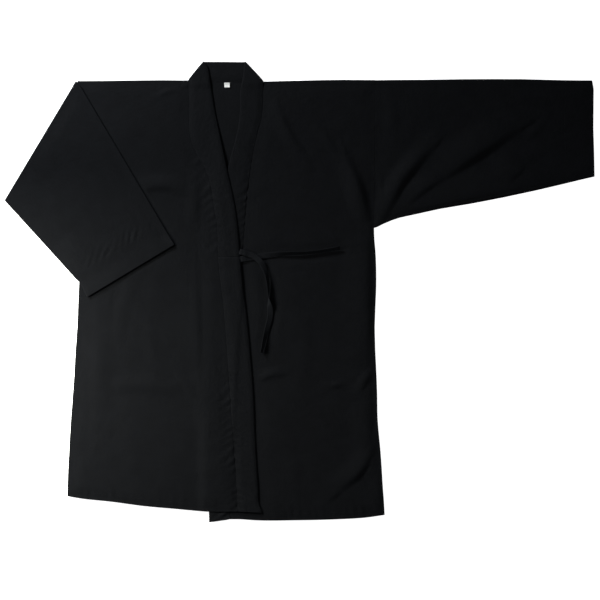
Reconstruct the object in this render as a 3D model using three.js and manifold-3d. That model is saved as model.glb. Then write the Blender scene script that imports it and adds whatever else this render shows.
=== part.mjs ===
// A practice jacket with wide sleeves, laid flat on its back panel: the wearer's right front lies on the
// left one, the left sleeve is stretched out and the right sleeve is folded diagonally over the front.
//
// Millimetres. x runs across the jacket from the centre back line, y runs up it from the shoulder line
// and z runs up from the surface that it lies on.

import * as THREE from 'three';
import { mergeVertices } from 'three/addons/utils/BufferGeometryUtils.js';
import Module from 'manifold-3d';

const wasm = await Module();
wasm.setup();

// ---- Driving dimensions ----

const wall = 1.2;             // one layer of cloth
const bandWall = 2.4;         // the collar band, folded over its seam
const tieWall = 1.4;
const labelWall = 1.0;
const gap = 0.3;              // between pieces at a seam, and between layers that lie on each other

const shoulderHalf = 308.4;   // centre back to the sleeve seam
const neckHalf = 78.4;        // centre back to the neck corner
const neckSeam = 3.2;         // where the neck stretch of the band is sewn to the back panel
const crossSeam = -358;       // joins the neck length of the band to its two lower lengths
const armpit = { x: 305.3, y: -298 };
const labelWidth = 10.8;
const labelHeight = 9.2;
const tieWidth = 11;

// Layer heights: the back panel, then the left front, then the right front, then the folded sleeve.
const onBack = wall + gap;
const onLeftFront = onBack + wall + gap;
const onLeftBand = onBack + bandWall + gap;
const onNeckBand = bandWall + gap;
const foldedTop = onLeftFront + 2 * wall + gap;

// ---- Edges, each listed from the top of the jacket down ----

// Free edge of the right front's band, on top where the fronts overlap.
const rightEdge = [
  { x: -46, y: 45.3 }, { x: -40.4, y: 41.4 }, { x: -33.7, y: 5 }, { x: -23.6, y: -57.5 },
  { x: -10.6, y: -121 }, { x: 1, y: -176 }, { x: 17.6, y: -255 }, { x: 26.3, y: -334.5 },
  { x: 30.4, y: -385 }, { x: 42.4, y: -488 }, { x: 54, y: -619 }, { x: 61.6, y: -776 },
  { x: 65.6, y: -837 }, { x: 67.6, y: -870 }, { x: 74.7, y: -887 },
];
// Seam between that band and the right front.
const rightSeam = [
  { x: -neckHalf, y: 7 }, { x: -76.9, y: -39 }, { x: -72.5, y: -118 }, { x: -53, y: -161 },
  { x: -38, y: -190 }, { x: -26, y: -252 }, { x: -19.7, y: -290 }, { x: -17, y: -358 },
  { x: -5, y: -468 }, { x: 3, y: -571 }, { x: 11.4, y: -695 }, { x: 19.7, y: -809 },
  { x: 23.8, y: -884.5 },
];
// Free edge of the left front's band, hidden below the crossing of the two bands.
const leftEdge = [
  { x: 38, y: 44.8 }, { x: 34.5, y: 12 }, { x: 30, y: -10 }, { x: 28.8, y: -54 },
  { x: 26, y: -83 }, { x: 18, y: -120 }, { x: 3, y: -178 }, { x: -6, y: -235 },
  { x: -11, y: -302 }, { x: -16, y: -358 }, { x: -24, y: -470 }, { x: -31, y: -586 },
  { x: -36, y: -698 }, { x: -37, y: -800 }, { x: -35.5, y: -906.5 },
];
// Seam between that band and the left front.
const leftSeam = [
  { x: 75.8, y: 4.6 }, { x: 74.8, y: -37 }, { x: 73, y: -64 }, { x: 64, y: -101 },
  { x: 54, y: -147 }, { x: 46, y: -199 }, { x: 40, y: -250 }, { x: 36.5, y: -302 },
  { x: 31.5, y: -358 }, { x: 22, y: -470 }, { x: 14, y: -586 }, { x: 9, y: -698 },
  { x: 6, y: -800 }, { x: 7.2, y: -900.5 },
];
// Left side seam, with the vent opening at about y -740.
const leftSide = [
  armpit, { x: 306, y: -320 }, { x: 308.3, y: -347 }, { x: 309.8, y: -384 }, { x: 309.8, y: -421 },
  { x: 308.3, y: -459 }, { x: 306.8, y: -505 }, { x: 308, y: -552 }, { x: 309.8, y: -589 },
  { x: 311.8, y: -640 }, { x: 312.6, y: -690 }, { x: 314.8, y: -719 }, { x: 318.5, y: -757 },
  { x: 320.6, y: -785 }, { x: 323.4, y: -831 }, { x: 326.1, y: -868 }, { x: 327.3, y: -891.5 },
];
// Right side seam.
const rightSide = [
  { x: -303, y: -292 }, { x: -304.5, y: -400 }, { x: -307, y: -460 }, { x: -308.4, y: -497 },
  { x: -312, y: -550 }, { x: -316, y: -620 }, { x: -319.5, y: -665 }, { x: -322.5, y: -705 },
  { x: -325.5, y: -760 }, { x: -328, y: -810 }, { x: -329.3, y: -852.5 },
];
// Hems, from the side seam to the band.
const rightHem = [
  { x: -329.3, y: -852.5 }, { x: -304, y: -857 }, { x: -238, y: -864.2 }, { x: -172, y: -873 },
  { x: -106, y: -879 }, { x: -39, y: -884.5 }, { x: 23.8, y: -884.5 },
];
const leftHem = [
  { x: 327.3, y: -891.5 }, { x: 292, y: -896.6 }, { x: 226, y: -900.7 }, { x: 143, y: -902.6 },
  { x: 60, y: -902.6 }, { x: 27, y: -900.5 }, { x: 7.2, y: -900.5 },
];
const backHem = [
  { x: -328.4, y: -850 }, { x: -238, y: -861.5 }, { x: -106, y: -876 }, { x: 20, y: -888 },
  { x: 121, y: -898 }, { x: 226, y: -898 }, { x: 326.4, y: -889 },
];
// The shoulders, from the sleeve seam to the neck.
const rightShoulder = [
  { x: -shoulderHalf, y: 5.8 }, { x: -257, y: 5.9 }, { x: -207, y: 6.9 }, { x: -132, y: 7.5 },
];
const leftShoulder = [
  { x: shoulderHalf, y: 7.7 }, { x: 240, y: 8.2 }, { x: 190, y: 7.5 }, { x: 116, y: 5.7 },
];
const neckSeamLine = [leftSeam[0], { x: 40, y: neckSeam }, { x: -40, y: neckSeam }, rightSeam[0]];
// Underarm seam of the left sleeve, from the cuff to the armpit.
const underarm = [
  { x: 739, y: -196.9 }, { x: 689, y: -209 }, { x: 640, y: -220.5 }, { x: 573, y: -234.9 },
  { x: 507, y: -247.6 }, { x: 441, y: -258.7 }, { x: 391, y: -269.7 }, { x: 358, y: -276.9 },
  { x: 342, y: -282.2 }, { x: 321.4, y: -291 }, { x: 313, y: -295.5 },
];
// Its cuff, from the underarm to the top, and its folded top edge, from the cuff to the shoulder.
const cuffEdge = [
  { x: 761.2, y: -191.5 }, { x: 760.3, y: -142 }, { x: 758.7, y: -90 }, { x: 759.4, y: -11 },
  { x: 756.5, y: 7 },
];
const sleeveTop = [
  { x: 700, y: 7.7 }, { x: 662, y: 8.6 }, { x: 613, y: 9.9 }, { x: 551, y: 10.1 },
  { x: 489, y: 9.8 }, { x: 414, y: 8.7 }, { x: 350, y: 8.3 },
];

// The right sleeve folds along the line from the top of its seam to foldEnd.
const foldStart = { x: -309.6, y: 6 };
const foldEnd = { x: -457.5, y: -241.2 };
const foldedCuffLow = { x: -286.2, y: -440 };
const foldedCuffHigh = { x: -108.7, y: -333.3 };
// Its underarm bends where it climbs from the surface on to the body.
const underarmBend = [{ x: -312, y: -401 }, { x: -301.5, y: -411 }];
const rightArmpit = { x: -303, y: -292 };

// ---- Largest folds: soft ridges, each on a curve through three points ----

const leftFrontFolds = [
  { x0: 291, y0: -285, x1: 272, y1: -213, x2: 246, y2: -151, halfWidth: 22, height: 3.6 },
  { x0: 162, y0: -160, x1: 121, y1: -98, x2: 103, y2: -52, halfWidth: 20, height: 2.0 },
  { x0: 284, y0: -320, x1: 282, y1: -520, x2: 286, y2: -700, halfWidth: 24, height: 2.4 },
  { x0: 233, y0: -838, x1: 270, y1: -799, x2: 300, y2: -745, halfWidth: 20, height: 2.4 },
];
const leftSleeveFolds = [
  { x0: 320, y0: -268, x1: 372, y1: -192, x2: 427, y2: -116, halfWidth: 22, height: 3.6 },
  { x0: 371, y0: -246, x1: 494, y1: -157, x2: 599, y2: -89, halfWidth: 24, height: 3.4 },
];
const rightFrontFolds = [
  { x0: -182, y0: -406, x1: -204, y1: -470, x2: -215, y2: -540, halfWidth: 22, height: 1.6 },
  { x0: -64, y0: -654, x1: -83, y1: -622, x2: -103, y2: -590, halfWidth: 20, height: 1.8 },
  { x0: -251, y0: -630, x1: -168, y1: -626, x2: -86, y2: -636, halfWidth: 18, height: 1.4 },
  { x0: -292, y0: -450, x1: -291, y1: -600, x2: -298, y2: -720, halfWidth: 16, height: 1.8 },
];

// ---- Ties: points along each ribbon's middle, and its turn there about its own length, in degrees ----

const rightTiePath = [
  { x: 18, y: -344, turn: 0 }, { x: 38, y: -349.5, turn: 0 }, { x: 57, y: -357, turn: 0 },
  { x: 72, y: -370, turn: -8 }, { x: 81, y: -388, turn: -30 }, { x: 86, y: -412, turn: -50 },
  { x: 87, y: -434, turn: -70 }, { x: 88.6, y: -450, turn: -124 }, { x: 90.8, y: -466, turn: -172 },
  { x: 90, y: -482, turn: -187 }, { x: 85, y: -504, turn: -196 }, { x: 79, y: -528, turn: -208 },
  { x: 72.5, y: -556, turn: -218 },
];
const leftTiePath = [
  { x: 18, y: -363, turn: 0 }, { x: 46, y: -360.5, turn: 0 }, { x: 65, y: -357.2, turn: 0 },
  { x: 94, y: -354, turn: 14 }, { x: 127, y: -351, turn: 40 }, { x: 160, y: -349.8, turn: 46 },
  { x: 186, y: -347.6, turn: 46 }, { x: 212, y: -343.6, turn: 44 }, { x: 234, y: -339.5, turn: 38 },
];
const tieStep = 7;            // length of ribbon between two of its sections

// ---- Shape helpers ----

const { smoothstep } = THREE.MathUtils;

// The x of a top-to-bottom edge at height y.
function edgeX(edge, y) {
  const below = edge.findIndex((point) => point.y <= y);
  if (below === 0) return edge[0].x;
  if (below < 0) return edge.at(-1).x;
  const high = edge[below - 1];
  const low = edge[below];
  return THREE.MathUtils.mapLinear(y, high.y, low.y, high.x, low.x);
}

// The stretch of an edge between two heights, with its ends worked out.
function stretch(edge, yHigh, yLow) {
  const inner = edge.filter((point) => point.y < yHigh && point.y > yLow);
  return [{ x: edgeX(edge, yHigh), y: yHigh }, ...inner, { x: edgeX(edge, yLow), y: yLow }];
}

const moved = (points, dx, dy) => points.map((point) => ({ x: point.x + dx, y: point.y + dy }));
const reversed = (points) => [...points].reverse();

// Evenly spaced values that span from low to high in steps of at most step.
function spaced(low, high, step) {
  const count = Math.ceil((high - low) / step);
  return Array.from({ length: count + 1 }, (_, i) => low + ((high - low) * i) / count);
}

function distanceToSegment(x, y, a, b) {
  const dx = b.x - a.x;
  const dy = b.y - a.y;
  const along = THREE.MathUtils.clamp(((x - a.x) * dx + (y - a.y) * dy) / (dx * dx + dy * dy), 0, 1);
  return { distance: Math.hypot(x - a.x - along * dx, y - a.y - along * dy), along };
}

// Height of a table of folds over the flat cloth. A fold is highest in its middle and dies out at its ends.
const foldSteps = 8;
const curves = new Map();
function foldCurve(fold) {
  if (!curves.has(fold)) {
    const start = new THREE.Vector2(fold.x0, fold.y0);
    const middle = new THREE.Vector2(fold.x1, fold.y1);
    const end = new THREE.Vector2(fold.x2, fold.y2);
    curves.set(fold, new THREE.SplineCurve([start, middle, end]).getPoints(foldSteps));
  }
  return curves.get(fold);
}
function relief(folds, x, y) {
  return folds.reduce((height, fold) => {
    const points = foldCurve(fold);
    let best = { distance: Infinity, share: 0 };
    for (let i = 0; i < foldSteps; i += 1) {
      const { distance, along } = distanceToSegment(x, y, points[i], points[i + 1]);
      if (distance < best.distance) best = { distance, share: (i + along) / foldSteps };
    }
    const across = 1 - smoothstep(best.distance, 0, fold.halfWidth);
    const lengthwise = 0.35 + 0.65 * Math.sin(Math.PI * best.share);
    return Math.max(height, fold.height * across * lengthwise);
  }, 0);
}

// Distance from a point to an outline, negative inside it.
function outlineDistance(outline, x, y) {
  let inside = false;
  let nearest = Infinity;
  outline.forEach((a, i) => {
    const b = outline[(i + 1) % outline.length];
    nearest = Math.min(nearest, distanceToSegment(x, y, a, b).distance);
    if (a.y > y !== b.y > y && x < ((b.x - a.x) * (y - a.y)) / (b.y - a.y) + a.x) inside = !inside;
  });
  return inside ? -nearest : nearest;
}

// ---- Solids ----

function solidFrom(geometry) {
  geometry.deleteAttribute('normal');
  geometry.deleteAttribute('uv');
  const merged = mergeVertices(geometry, 1e-4);
  const vertProperties = Float32Array.from(merged.attributes.position.array);
  const triVerts = Uint32Array.from(merged.index.array);
  return new wasm.Manifold(new wasm.Mesh({ numProp: 3, vertProperties, triVerts }));
}

// Triangles that lie in one plane are joined first, so flat cloth costs few of them.
const flatness = 0.002;
function geometryFrom(solid) {
  const mesh = solid.asOriginal().simplify(flatness).getMesh();
  const geometry = new THREE.BufferGeometry();
  geometry.setAttribute('position', new THREE.BufferAttribute(mesh.vertProperties, 3));
  geometry.setIndex(new THREE.BufferAttribute(mesh.triVerts, 1));
  geometry.computeVertexNormals();
  return geometry;
}

// A closed mesh between two heights over a grid of columns and rows. place turns a grid point into x and y.
function slab(columns, rows, bottom, top, place = (u, v) => ({ x: u, y: v })) {
  const positions = [];
  const across = columns.length;
  [bottom, top].forEach((height) => rows.forEach((v) => columns.forEach((u) => {
    const { x, y } = place(u, v);
    positions.push(x, y, height(x, y));
  })));
  const upper = across * rows.length;
  const faces = [];
  const quad = (a, b, c, d) => faces.push(a, b, c, a, c, d);
  for (let j = 0; j < rows.length - 1; j += 1) {
    for (let i = 0; i < across - 1; i += 1) {
      const a = j * across + i;
      const corners = [a, a + 1, a + 1 + across, a + across];
      quad(...corners.map((corner) => corner + upper));
      quad(...corners.toReversed());
    }
    const left = j * across;
    const right = left + across - 1;
    quad(left + across, left, left + upper, left + across + upper);
    quad(right, right + across, right + across + upper, right + upper);
  }
  for (let i = 0; i < across - 1; i += 1) {
    const far = upper - across + i;
    quad(i, i + 1, i + 1 + upper, i + upper);
    quad(far + 1, far, far + upper, far + 1 + upper);
  }
  const geometry = new THREE.BufferGeometry();
  geometry.setAttribute('position', new THREE.Float32BufferAttribute(positions, 3));
  geometry.setIndex(faces);
  return solidFrom(geometry);
}

// An upright prism with the given outline.
function prism(outline, bottom, top) {
  const shape = new THREE.Shape(outline.map((point) => new THREE.Vector2(point.x, point.y)));
  const geometry = new THREE.ExtrudeGeometry(shape, { depth: top - bottom, bevelEnabled: false });
  geometry.translate(0, 0, bottom);
  return solidFrom(geometry);
}

// Cloth of one thickness, cut to an outline, with its underside at the given height.
const tall = 40;
function cloth(outline, columns, rows, underside, thickness, place) {
  const top = (x, y) => underside(x, y) + thickness;
  return slab(columns, rows, underside, top, place).intersect(prism(outline, -tall, tall));
}

// ---- Heights that one layer takes over the layers below it ----

const edgeMargin = 12;        // a layer is at full height this far outside the edge that it covers
const edgeRamp = 16;          // and comes down over this distance

// Underside of what lies on the back panel, and on the band's neck stretch near it.
function overBack(x, y) {
  const up = smoothstep(y, neckSeam - edgeMargin - edgeRamp, neckSeam - edgeMargin);
  const out = smoothstep(Math.abs(x), neckHalf + edgeMargin, neckHalf + edgeMargin + edgeRamp);
  return onBack + (onNeckBand - onBack) * up * (1 - out);
}

// Underside of the right front and its band, which also lie on the left front and its band.
function overBody(x, y) {
  const edge = edgeX(leftEdge, y) - edgeMargin;
  const seam = edgeX(leftSeam, y) + edgeMargin;
  const climb = (onLeftBand - onBack) * smoothstep(x, edge - edgeRamp, edge);
  const drop = (onLeftBand - onLeftFront) * smoothstep(x, seam, seam + edgeRamp);
  return Math.max(overBack(x, y), onBack + climb - drop);
}

// Underside of the ties, which start on the left band and lie on the left front.
function underTie(x, y) {
  const seam = edgeX(leftSeam, y) + fine;
  return onLeftBand - (onLeftBand - onLeftFront) * smoothstep(x, seam, seam + edgeRamp);
}

const coarse = 13;            // grid steps
const fine = 7;

// ---- Pieces ----

function backPanel() {
  const outline = [
    ...rightSide.slice(0, -1), ...backHem, ...reversed(leftSide.slice(0, -1)), ...leftShoulder,
    ...moved(neckSeamLine, 0, -gap), ...reversed(rightShoulder),
  ];
  return prism(outline, 0, wall);
}

function leftFront() {
  const outline = [
    ...leftShoulder, ...moved(leftSeam, gap, 0), ...reversed(leftHem).slice(1), ...reversed(leftSide).slice(1),
  ];
  const underside = (x, y) => onBack + relief(leftFrontFolds, x, y);
  return cloth(outline, spaced(0, 336, coarse), spaced(-912, 12, coarse), underside, wall);
}

function rightFront() {
  const outline = [
    ...rightSide, ...rightHem.slice(1, -1), ...reversed(moved(rightSeam, -gap, 0)), ...reversed(rightShoulder),
  ];
  const columns = [...spaced(-336, -98, coarse), ...spaced(-91, 32, fine)];
  const underside = (x, y) => overBody(x, y) + relief(rightFrontFolds, x, y);
  return cloth(outline, columns, spaced(-912, 12, coarse), underside, wall);
}

// The band's neck length: it stands at the back of the neck and folds over at both neck corners on to
// the fronts. The fold joins the back stretch to each front stretch along a narrow strip.
function collar() {
  const [cornerRight, cornerLeft] = [rightSeam[0], leftSeam[0]];
  const [topRight, topLeft] = [rightEdge[0], leftEdge[0]];
  const neckStretch = prism([...neckSeamLine, topRight, topLeft], 0, bandWall);

  const rightOutline = [
    ...reversed(stretch(rightEdge, topRight.y, crossSeam)), ...stretch(rightSeam, cornerRight.y, crossSeam),
  ];
  const leftOutline = [
    ...reversed(stretch(leftEdge, topLeft.y, crossSeam)), ...stretch(leftSeam, cornerLeft.y, crossSeam),
  ];
  const rows = spaced(-368, 52, fine);
  const right = cloth(rightOutline, spaced(-88, 40, fine), rows, overBody, bandWall);
  const left = cloth(leftOutline, spaced(-24, 88, fine), rows, overBack, bandWall);

  const foldStrip = (corner, top, inward) => {
    const width = inward * 1.6;
    const outline = [corner, top, { x: top.x + width, y: top.y }, { x: corner.x + width, y: corner.y + 1.5 }];
    return prism(outline, onBack, onNeckBand + bandWall / 2);
  };
  return neckStretch.add(left).add(right)
    .add(foldStrip(cornerRight, topRight, 1)).add(foldStrip(cornerLeft, topLeft, -1));
}

// A lower length of the band, from the cross seam to the hem.
function rightCollarEnd() {
  const top = crossSeam - gap;
  const outline = [...reversed(stretch(rightEdge, top, rightEdge.at(-1).y)), ...stretch(rightSeam, top, rightSeam.at(-1).y)];
  return cloth(outline, spaced(-24, 80, fine), spaced(-896, -352, coarse), overBody, bandWall);
}

function leftCollarEnd() {
  const top = crossSeam - gap;
  const outline = [...reversed(stretch(leftEdge, top, leftEdge.at(-1).y)), ...stretch(leftSeam, top, leftSeam.at(-1).y)];
  return prism(outline, onBack, onBack + bandWall);
}

// A flat tube: one piece folded along its top and sewn along the underarm, open at both ends.
function leftSleeve() {
  const joined = 2;
  const start = { x: shoulderHalf + gap, y: leftShoulder[0].y };
  const end = { x: armpit.x + gap, y: armpit.y };
  const outline = [start, end, ...reversed(underarm), ...cuffEdge, ...sleeveTop];
  const past = 20;
  const hollow = [
    { x: start.x - past, y: start.y - joined }, { x: end.x - past, y: end.y + 2 * joined },
    ...reversed(moved(underarm, 0, joined)), { x: cuffEdge[0].x + past, y: cuffEdge[0].y + 3 * joined },
    { x: cuffEdge[0].x + past, y: cuffEdge.at(-1).y - joined }, ...moved(sleeveTop, 0, -joined),
  ];
  const columns = [...spaced(280, 664, 13), ...spaced(690, 790, 50)];
  const rows = spaced(-300, 12, 13);
  const lift = (x, y) => relief(leftSleeveFolds, x, y);
  const flatTop = (x, y) => onBack + wall + lift(x, y);
  const outer = slab(columns, rows, () => 0, flatTop).intersect(prism(outline, -tall, tall));
  const inner = slab(columns, rows, () => wall, (x, y) => onBack + lift(x, y)).intersect(prism(hollow, -tall, tall));
  return outer.subtract(inner);
}

// The folded sleeve. Its upper part lies on the front and comes down to the surface beside the body. Its
// hidden part, between the sleeve seam and the fold, fills up to it, and the two share a rounded bend.
function rightSleeve() {
  const foldLength = Math.hypot(foldEnd.x - foldStart.x, foldEnd.y - foldStart.y);
  const along = { x: (foldEnd.x - foldStart.x) / foldLength, y: (foldEnd.y - foldStart.y) / foldLength };
  const inward = { x: -along.y, y: along.x };
  // u runs down the fold, v in from it.
  const place = (u, v) => ({
    x: foldStart.x + u * along.x + v * inward.x,
    y: foldStart.y + u * along.y + v * inward.y,
  });
  const fromFold = (x, y) => (x - foldStart.x) * inward.x + (y - foldStart.y) * inward.y;

  const bend = foldedTop / 2;
  const round = (x, y) => {
    const depth = THREE.MathUtils.clamp(1 - fromFold(x, y) / bend, 0, 0.98);
    return bend * (1 - Math.sqrt(1 - depth * depth));
  };
  const held = [
    foldStart, foldEnd, rightArmpit, { x: rightArmpit.x, y: -620 }, { x: 0, y: -620 }, { x: 0, y: foldStart.y },
  ];
  const settle = 40;
  const bed = (x, y) => {
    const away = smoothstep(outlineDistance(held, x, y), edgeMargin, edgeMargin + settle);
    return onLeftFront * (1 - away);
  };

  const downFold = spaced(-40, 400, 20);
  const fromBend = [-4, 0.01, 0.7, bend, ...spaced(12, 372, 15)];
  const twoLayers = 2 * wall + gap;
  const upperOutline = [foldStart, foldEnd, ...underarmBend, foldedCuffLow, foldedCuffHigh];
  const upper = slab(downFold, fromBend, bed, (x, y) => bed(x, y) + twoLayers - round(x, y), place)
    .intersect(prism(upperOutline, -tall, tall));

  // The hidden part stands clear of the body's edge, and its own edge shows as a layer under the upper one.
  const beside = (y) => {
    const edge = THREE.MathUtils.mapLinear(y, foldStart.y, rightArmpit.y, foldStart.x, rightArmpit.x);
    return { x: edge - gap, y };
  };
  const hiddenOutline = [beside(foldStart.y - 1), foldEnd, beside(rightArmpit.y)];
  const hidden = slab(downFold, fromBend, round, () => twoLayers, place)
    .intersect(prism(hiddenOutline, -tall, tall));
  const layered = 8;
  const filled = [
    place(layered, bend), place(foldLength - layered, bend),
    beside(rightArmpit.y + layered), beside(foldStart.y - layered),
  ];
  const fill = prism(filled, wall, onLeftFront + wall);
  const bent = [place(4, 0), place(foldLength - 1, 0), place(foldLength - layered, bend + 1), place(layered, bend + 1)];
  const foldEdge = prism(bent, bend - gap, bend + gap);

  // The open cuff: a slit between the sleeve's two layers.
  const cuffLine = new THREE.Vector2(foldedCuffHigh.x - foldedCuffLow.x, foldedCuffHigh.y - foldedCuffLow.y);
  cuffLine.normalize();
  const fromCuff = (corner, side, out) => ({
    x: corner.x + side * cuffLine.x + out * cuffLine.y,
    y: corner.y + side * cuffLine.y - out * cuffLine.x,
  });
  const slitOutline = [
    fromCuff(foldedCuffLow, 4, 10), fromCuff(foldedCuffHigh, -4, 10),
    fromCuff(foldedCuffHigh, -12, -150), fromCuff(foldedCuffLow, 26, -150),
  ];
  const slit = slab(downFold, fromBend, (x, y) => bed(x, y) + wall, (x, y) => bed(x, y) + wall + gap, place)
    .intersect(prism(slitOutline, -tall, tall));
  return upper.subtract(slit).add(hidden).add(fill).add(foldEdge);
}

// How far a ribbon rises to pass over another one below it.
function passOver(below, x, y) {
  const nearest = Math.min(...below.slice(1).map((point, i) => distanceToSegment(x, y, below[i], point).distance));
  const clear = tieWidth + 1;
  return (tieWall + 2 * gap) * (1 - smoothstep(nearest, clear, clear + edgeRamp));
}

// A ribbon along a path, cut off at the free edge of the band that it is sewn to. Where it is turned, its
// lower side rests on what it lies on.
function ribbon(path, lift) {
  const course = new THREE.CatmullRomCurve3(path.map(({ x, y }) => new THREE.Vector3(x, y, 0)));
  const turnAt = (share) => {
    const t = course.getUtoTmapping(share) * (path.length - 1);
    const first = Math.min(Math.floor(t), path.length - 2);
    return THREE.MathUtils.degToRad(THREE.MathUtils.lerp(path[first].turn, path[first + 1].turn, t - first));
  };
  const count = Math.round(course.getLength() / tieStep);
  const positions = [];
  const faces = [];
  const quad = (a, b, c, d) => faces.push(a, b, c, a, c, d);
  for (let i = 0; i <= count; i += 1) {
    const { x, y } = course.getPointAt(i / count);
    const tangent = course.getTangentAt(i / count);
    const turn = turnAt(i / count);
    const [cos, sin] = [Math.cos(turn), Math.sin(turn)];
    // Its sides roll in where it stands on edge.
    const width = tieWidth * (1 - 0.4 * sin * sin);
    const middle = underTie(x, y) + lift(x, y) + (width / 2) * Math.abs(sin) + tieWall * Math.max(0, -cos);
    [[1, 0], [-1, 0], [-1, tieWall], [1, tieWall]].forEach(([way, rise]) => {
      const aside = (way * width * cos) / 2 - rise * sin;
      positions.push(x - aside * tangent.y, y + aside * tangent.x, middle + (way * width * sin) / 2 + rise * cos);
    });
    for (let k = 0; k < 4 && i < count; k += 1) {
      const here = i * 4 + k;
      const beside = i * 4 + ((k + 1) % 4);
      quad(here, here + 4, beside + 4, beside);
    }
  }
  const last = count * 4;
  quad(0, 1, 2, 3);
  quad(last + 3, last + 2, last + 1, last);
  const geometry = new THREE.BufferGeometry();
  geometry.setAttribute('position', new THREE.Float32BufferAttribute(positions, 3));
  geometry.setIndex(faces);
  const band = [{ x: 0, y: -300 }, { x: 0, y: -420 }, ...reversed(moved(stretch(rightEdge, -300, -420), gap, 0))];
  return solidFrom(geometry).subtract(prism(band, -tall, tall));
}

// The blank label, sewn in at the neck seam and lying on the back panel.
function label() {
  const left = 1.3 - labelWidth / 2;
  const low = -2.5 - labelHeight / 2;
  const outline = [
    { x: left, y: low }, { x: left + labelWidth, y: low },
    { x: left + labelWidth, y: low + labelHeight }, { x: left, y: low + labelHeight },
  ];
  const rows = [-10, -3, neckSeam - 3, neckSeam - 1, 6];
  const underside = (x, y) => onBack + (onNeckBand - onBack) * smoothstep(y, -3, neckSeam - 1);
  return cloth(outline, [-8, 10], rows, underside, labelWall);
}

// ---- The jacket ----

const blackCloth = new THREE.MeshStandardMaterial({ color: 0x15171a, roughness: 0.85, metalness: 0 });
const whiteLabel = new THREE.MeshStandardMaterial({ color: 0xf2f2ef, roughness: 0.7, metalness: 0 });

const pieces = [
  { name: 'back', solid: backPanel(), material: blackCloth },
  { name: 'front_left', solid: leftFront(), material: blackCloth },
  { name: 'front_right', solid: rightFront(), material: blackCloth },
  { name: 'sleeve_left', solid: leftSleeve(), material: blackCloth },
  { name: 'sleeve_right', solid: rightSleeve(), material: blackCloth },
  { name: 'collar', solid: collar(), material: blackCloth },
  { name: 'collar_end_left', solid: leftCollarEnd(), material: blackCloth },
  { name: 'collar_end_right', solid: rightCollarEnd(), material: blackCloth },
  { name: 'tie_left', solid: ribbon(leftTiePath, () => 0), material: blackCloth },
  { name: 'tie_right', solid: ribbon(rightTiePath, (x, y) => passOver(leftTiePath, x, y)), material: blackCloth },
  { name: 'label', solid: label(), material: whiteLabel },
];

const jacket = new THREE.Group();
pieces.forEach(({ name, solid, material }) => {
  const mesh = new THREE.Mesh(geometryFrom(solid), material);
  mesh.name = name;
  jacket.add(mesh);
});

// The part's origin is the middle of its box, on the surface.
const middle = new THREE.Box3().setFromObject(jacket).getCenter(new THREE.Vector3());
jacket.position.set(-middle.x, -middle.y, 0);

export default jacket;
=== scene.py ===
import math

import bpy
import numpy as np
from bpy.props import FloatProperty, FloatVectorProperty, IntProperty, PointerProperty
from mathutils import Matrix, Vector
from mathutils.bvhtree import BVHTree


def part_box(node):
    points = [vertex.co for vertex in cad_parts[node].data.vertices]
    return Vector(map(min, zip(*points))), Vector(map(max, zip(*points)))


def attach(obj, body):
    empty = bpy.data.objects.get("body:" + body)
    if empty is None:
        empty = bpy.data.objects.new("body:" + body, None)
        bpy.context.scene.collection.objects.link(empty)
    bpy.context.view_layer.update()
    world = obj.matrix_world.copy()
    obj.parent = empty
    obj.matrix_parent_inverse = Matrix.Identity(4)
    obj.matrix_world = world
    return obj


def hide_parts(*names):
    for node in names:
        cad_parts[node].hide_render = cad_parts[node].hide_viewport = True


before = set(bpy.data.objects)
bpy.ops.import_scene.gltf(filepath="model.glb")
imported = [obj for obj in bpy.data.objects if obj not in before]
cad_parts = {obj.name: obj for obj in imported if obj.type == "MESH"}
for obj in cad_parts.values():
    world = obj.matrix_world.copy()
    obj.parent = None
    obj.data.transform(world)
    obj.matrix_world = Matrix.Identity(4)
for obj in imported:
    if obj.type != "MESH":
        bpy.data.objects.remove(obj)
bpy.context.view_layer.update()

bl_info = {
    "name": "Laid-flat practice jacket",
    "version": (1, 0, 0),
    "blender": (4, 5, 0),
    "location": "View3D > Sidebar > Jacket",
    "description": "Cloth, sewing and stage of a black practice jacket, laid flat with a sleeve folded over",
    "category": "Add Mesh",
}

# ---------------------------------------------------------------------------------------------------
# Sizes. Tables and lengths are in millimetres: x runs across the jacket from the centre back line,
# y up it from the shoulder line, z up from the surface. to_world() turns them into the frame's metres.
# ---------------------------------------------------------------------------------------------------

MM = 0.001
LABEL_CENTRE = (1.3, -2.5)
LABEL_SIZE = (10.8, 9.2)
_low, _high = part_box("label")
NECK_X = (_low.x + _high.x) / 2 - LABEL_CENTRE[0] * MM
NECK_Y = (_low.y + _high.y) / 2 - LABEL_CENTRE[1] * MM

WALL = 1.2
BAND_WALL = 2.4
TIE_WALL = 1.4
LABEL_WALL = 0.8
TIE_WIDTH = 11.0
GAP = 0.3
SHOWN = 0.9                   # share of a solid's wall that the cloth itself fills
HEM = 14.0                    # depth of the fronts' hems
CUFF_HEM = 59.0               # depth of the sleeves' hems
EDGE_STITCH = 2.6             # rows of stitches lie this far from an edge,
SEAM_STITCH = 2.4             # from the band's long seam,
SIDE_STITCH = 3.0             # from a side seam,
END_STITCH = 7.0              # from the edge of a cuff and the band's hem,
TIE_STITCH = 3.6              # and from a tie's middle
STITCH_END = 4.0              # and those across the folded sleeve end this far from its sides

NECK_HALF = 78.4
NECK_SEAM = 3.2
CROSS_SEAM = -358.0

ON_BACK = WALL + GAP
ON_LEFT_FRONT = ON_BACK + WALL + GAP
ON_LEFT_BAND = ON_BACK + BAND_WALL + GAP
ON_NECK_BAND = BAND_WALL + GAP

# Rough sizes of the pieces, across and up. They set how many lines a piece's grid has.
BACK_SIZE = (640, 890)
LEFT_FRONT_SIZE = (300, 895)
RIGHT_FRONT_SIZE = (310, 880)
LEFT_SLEEVE_SIZE = (452, 240)

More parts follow.
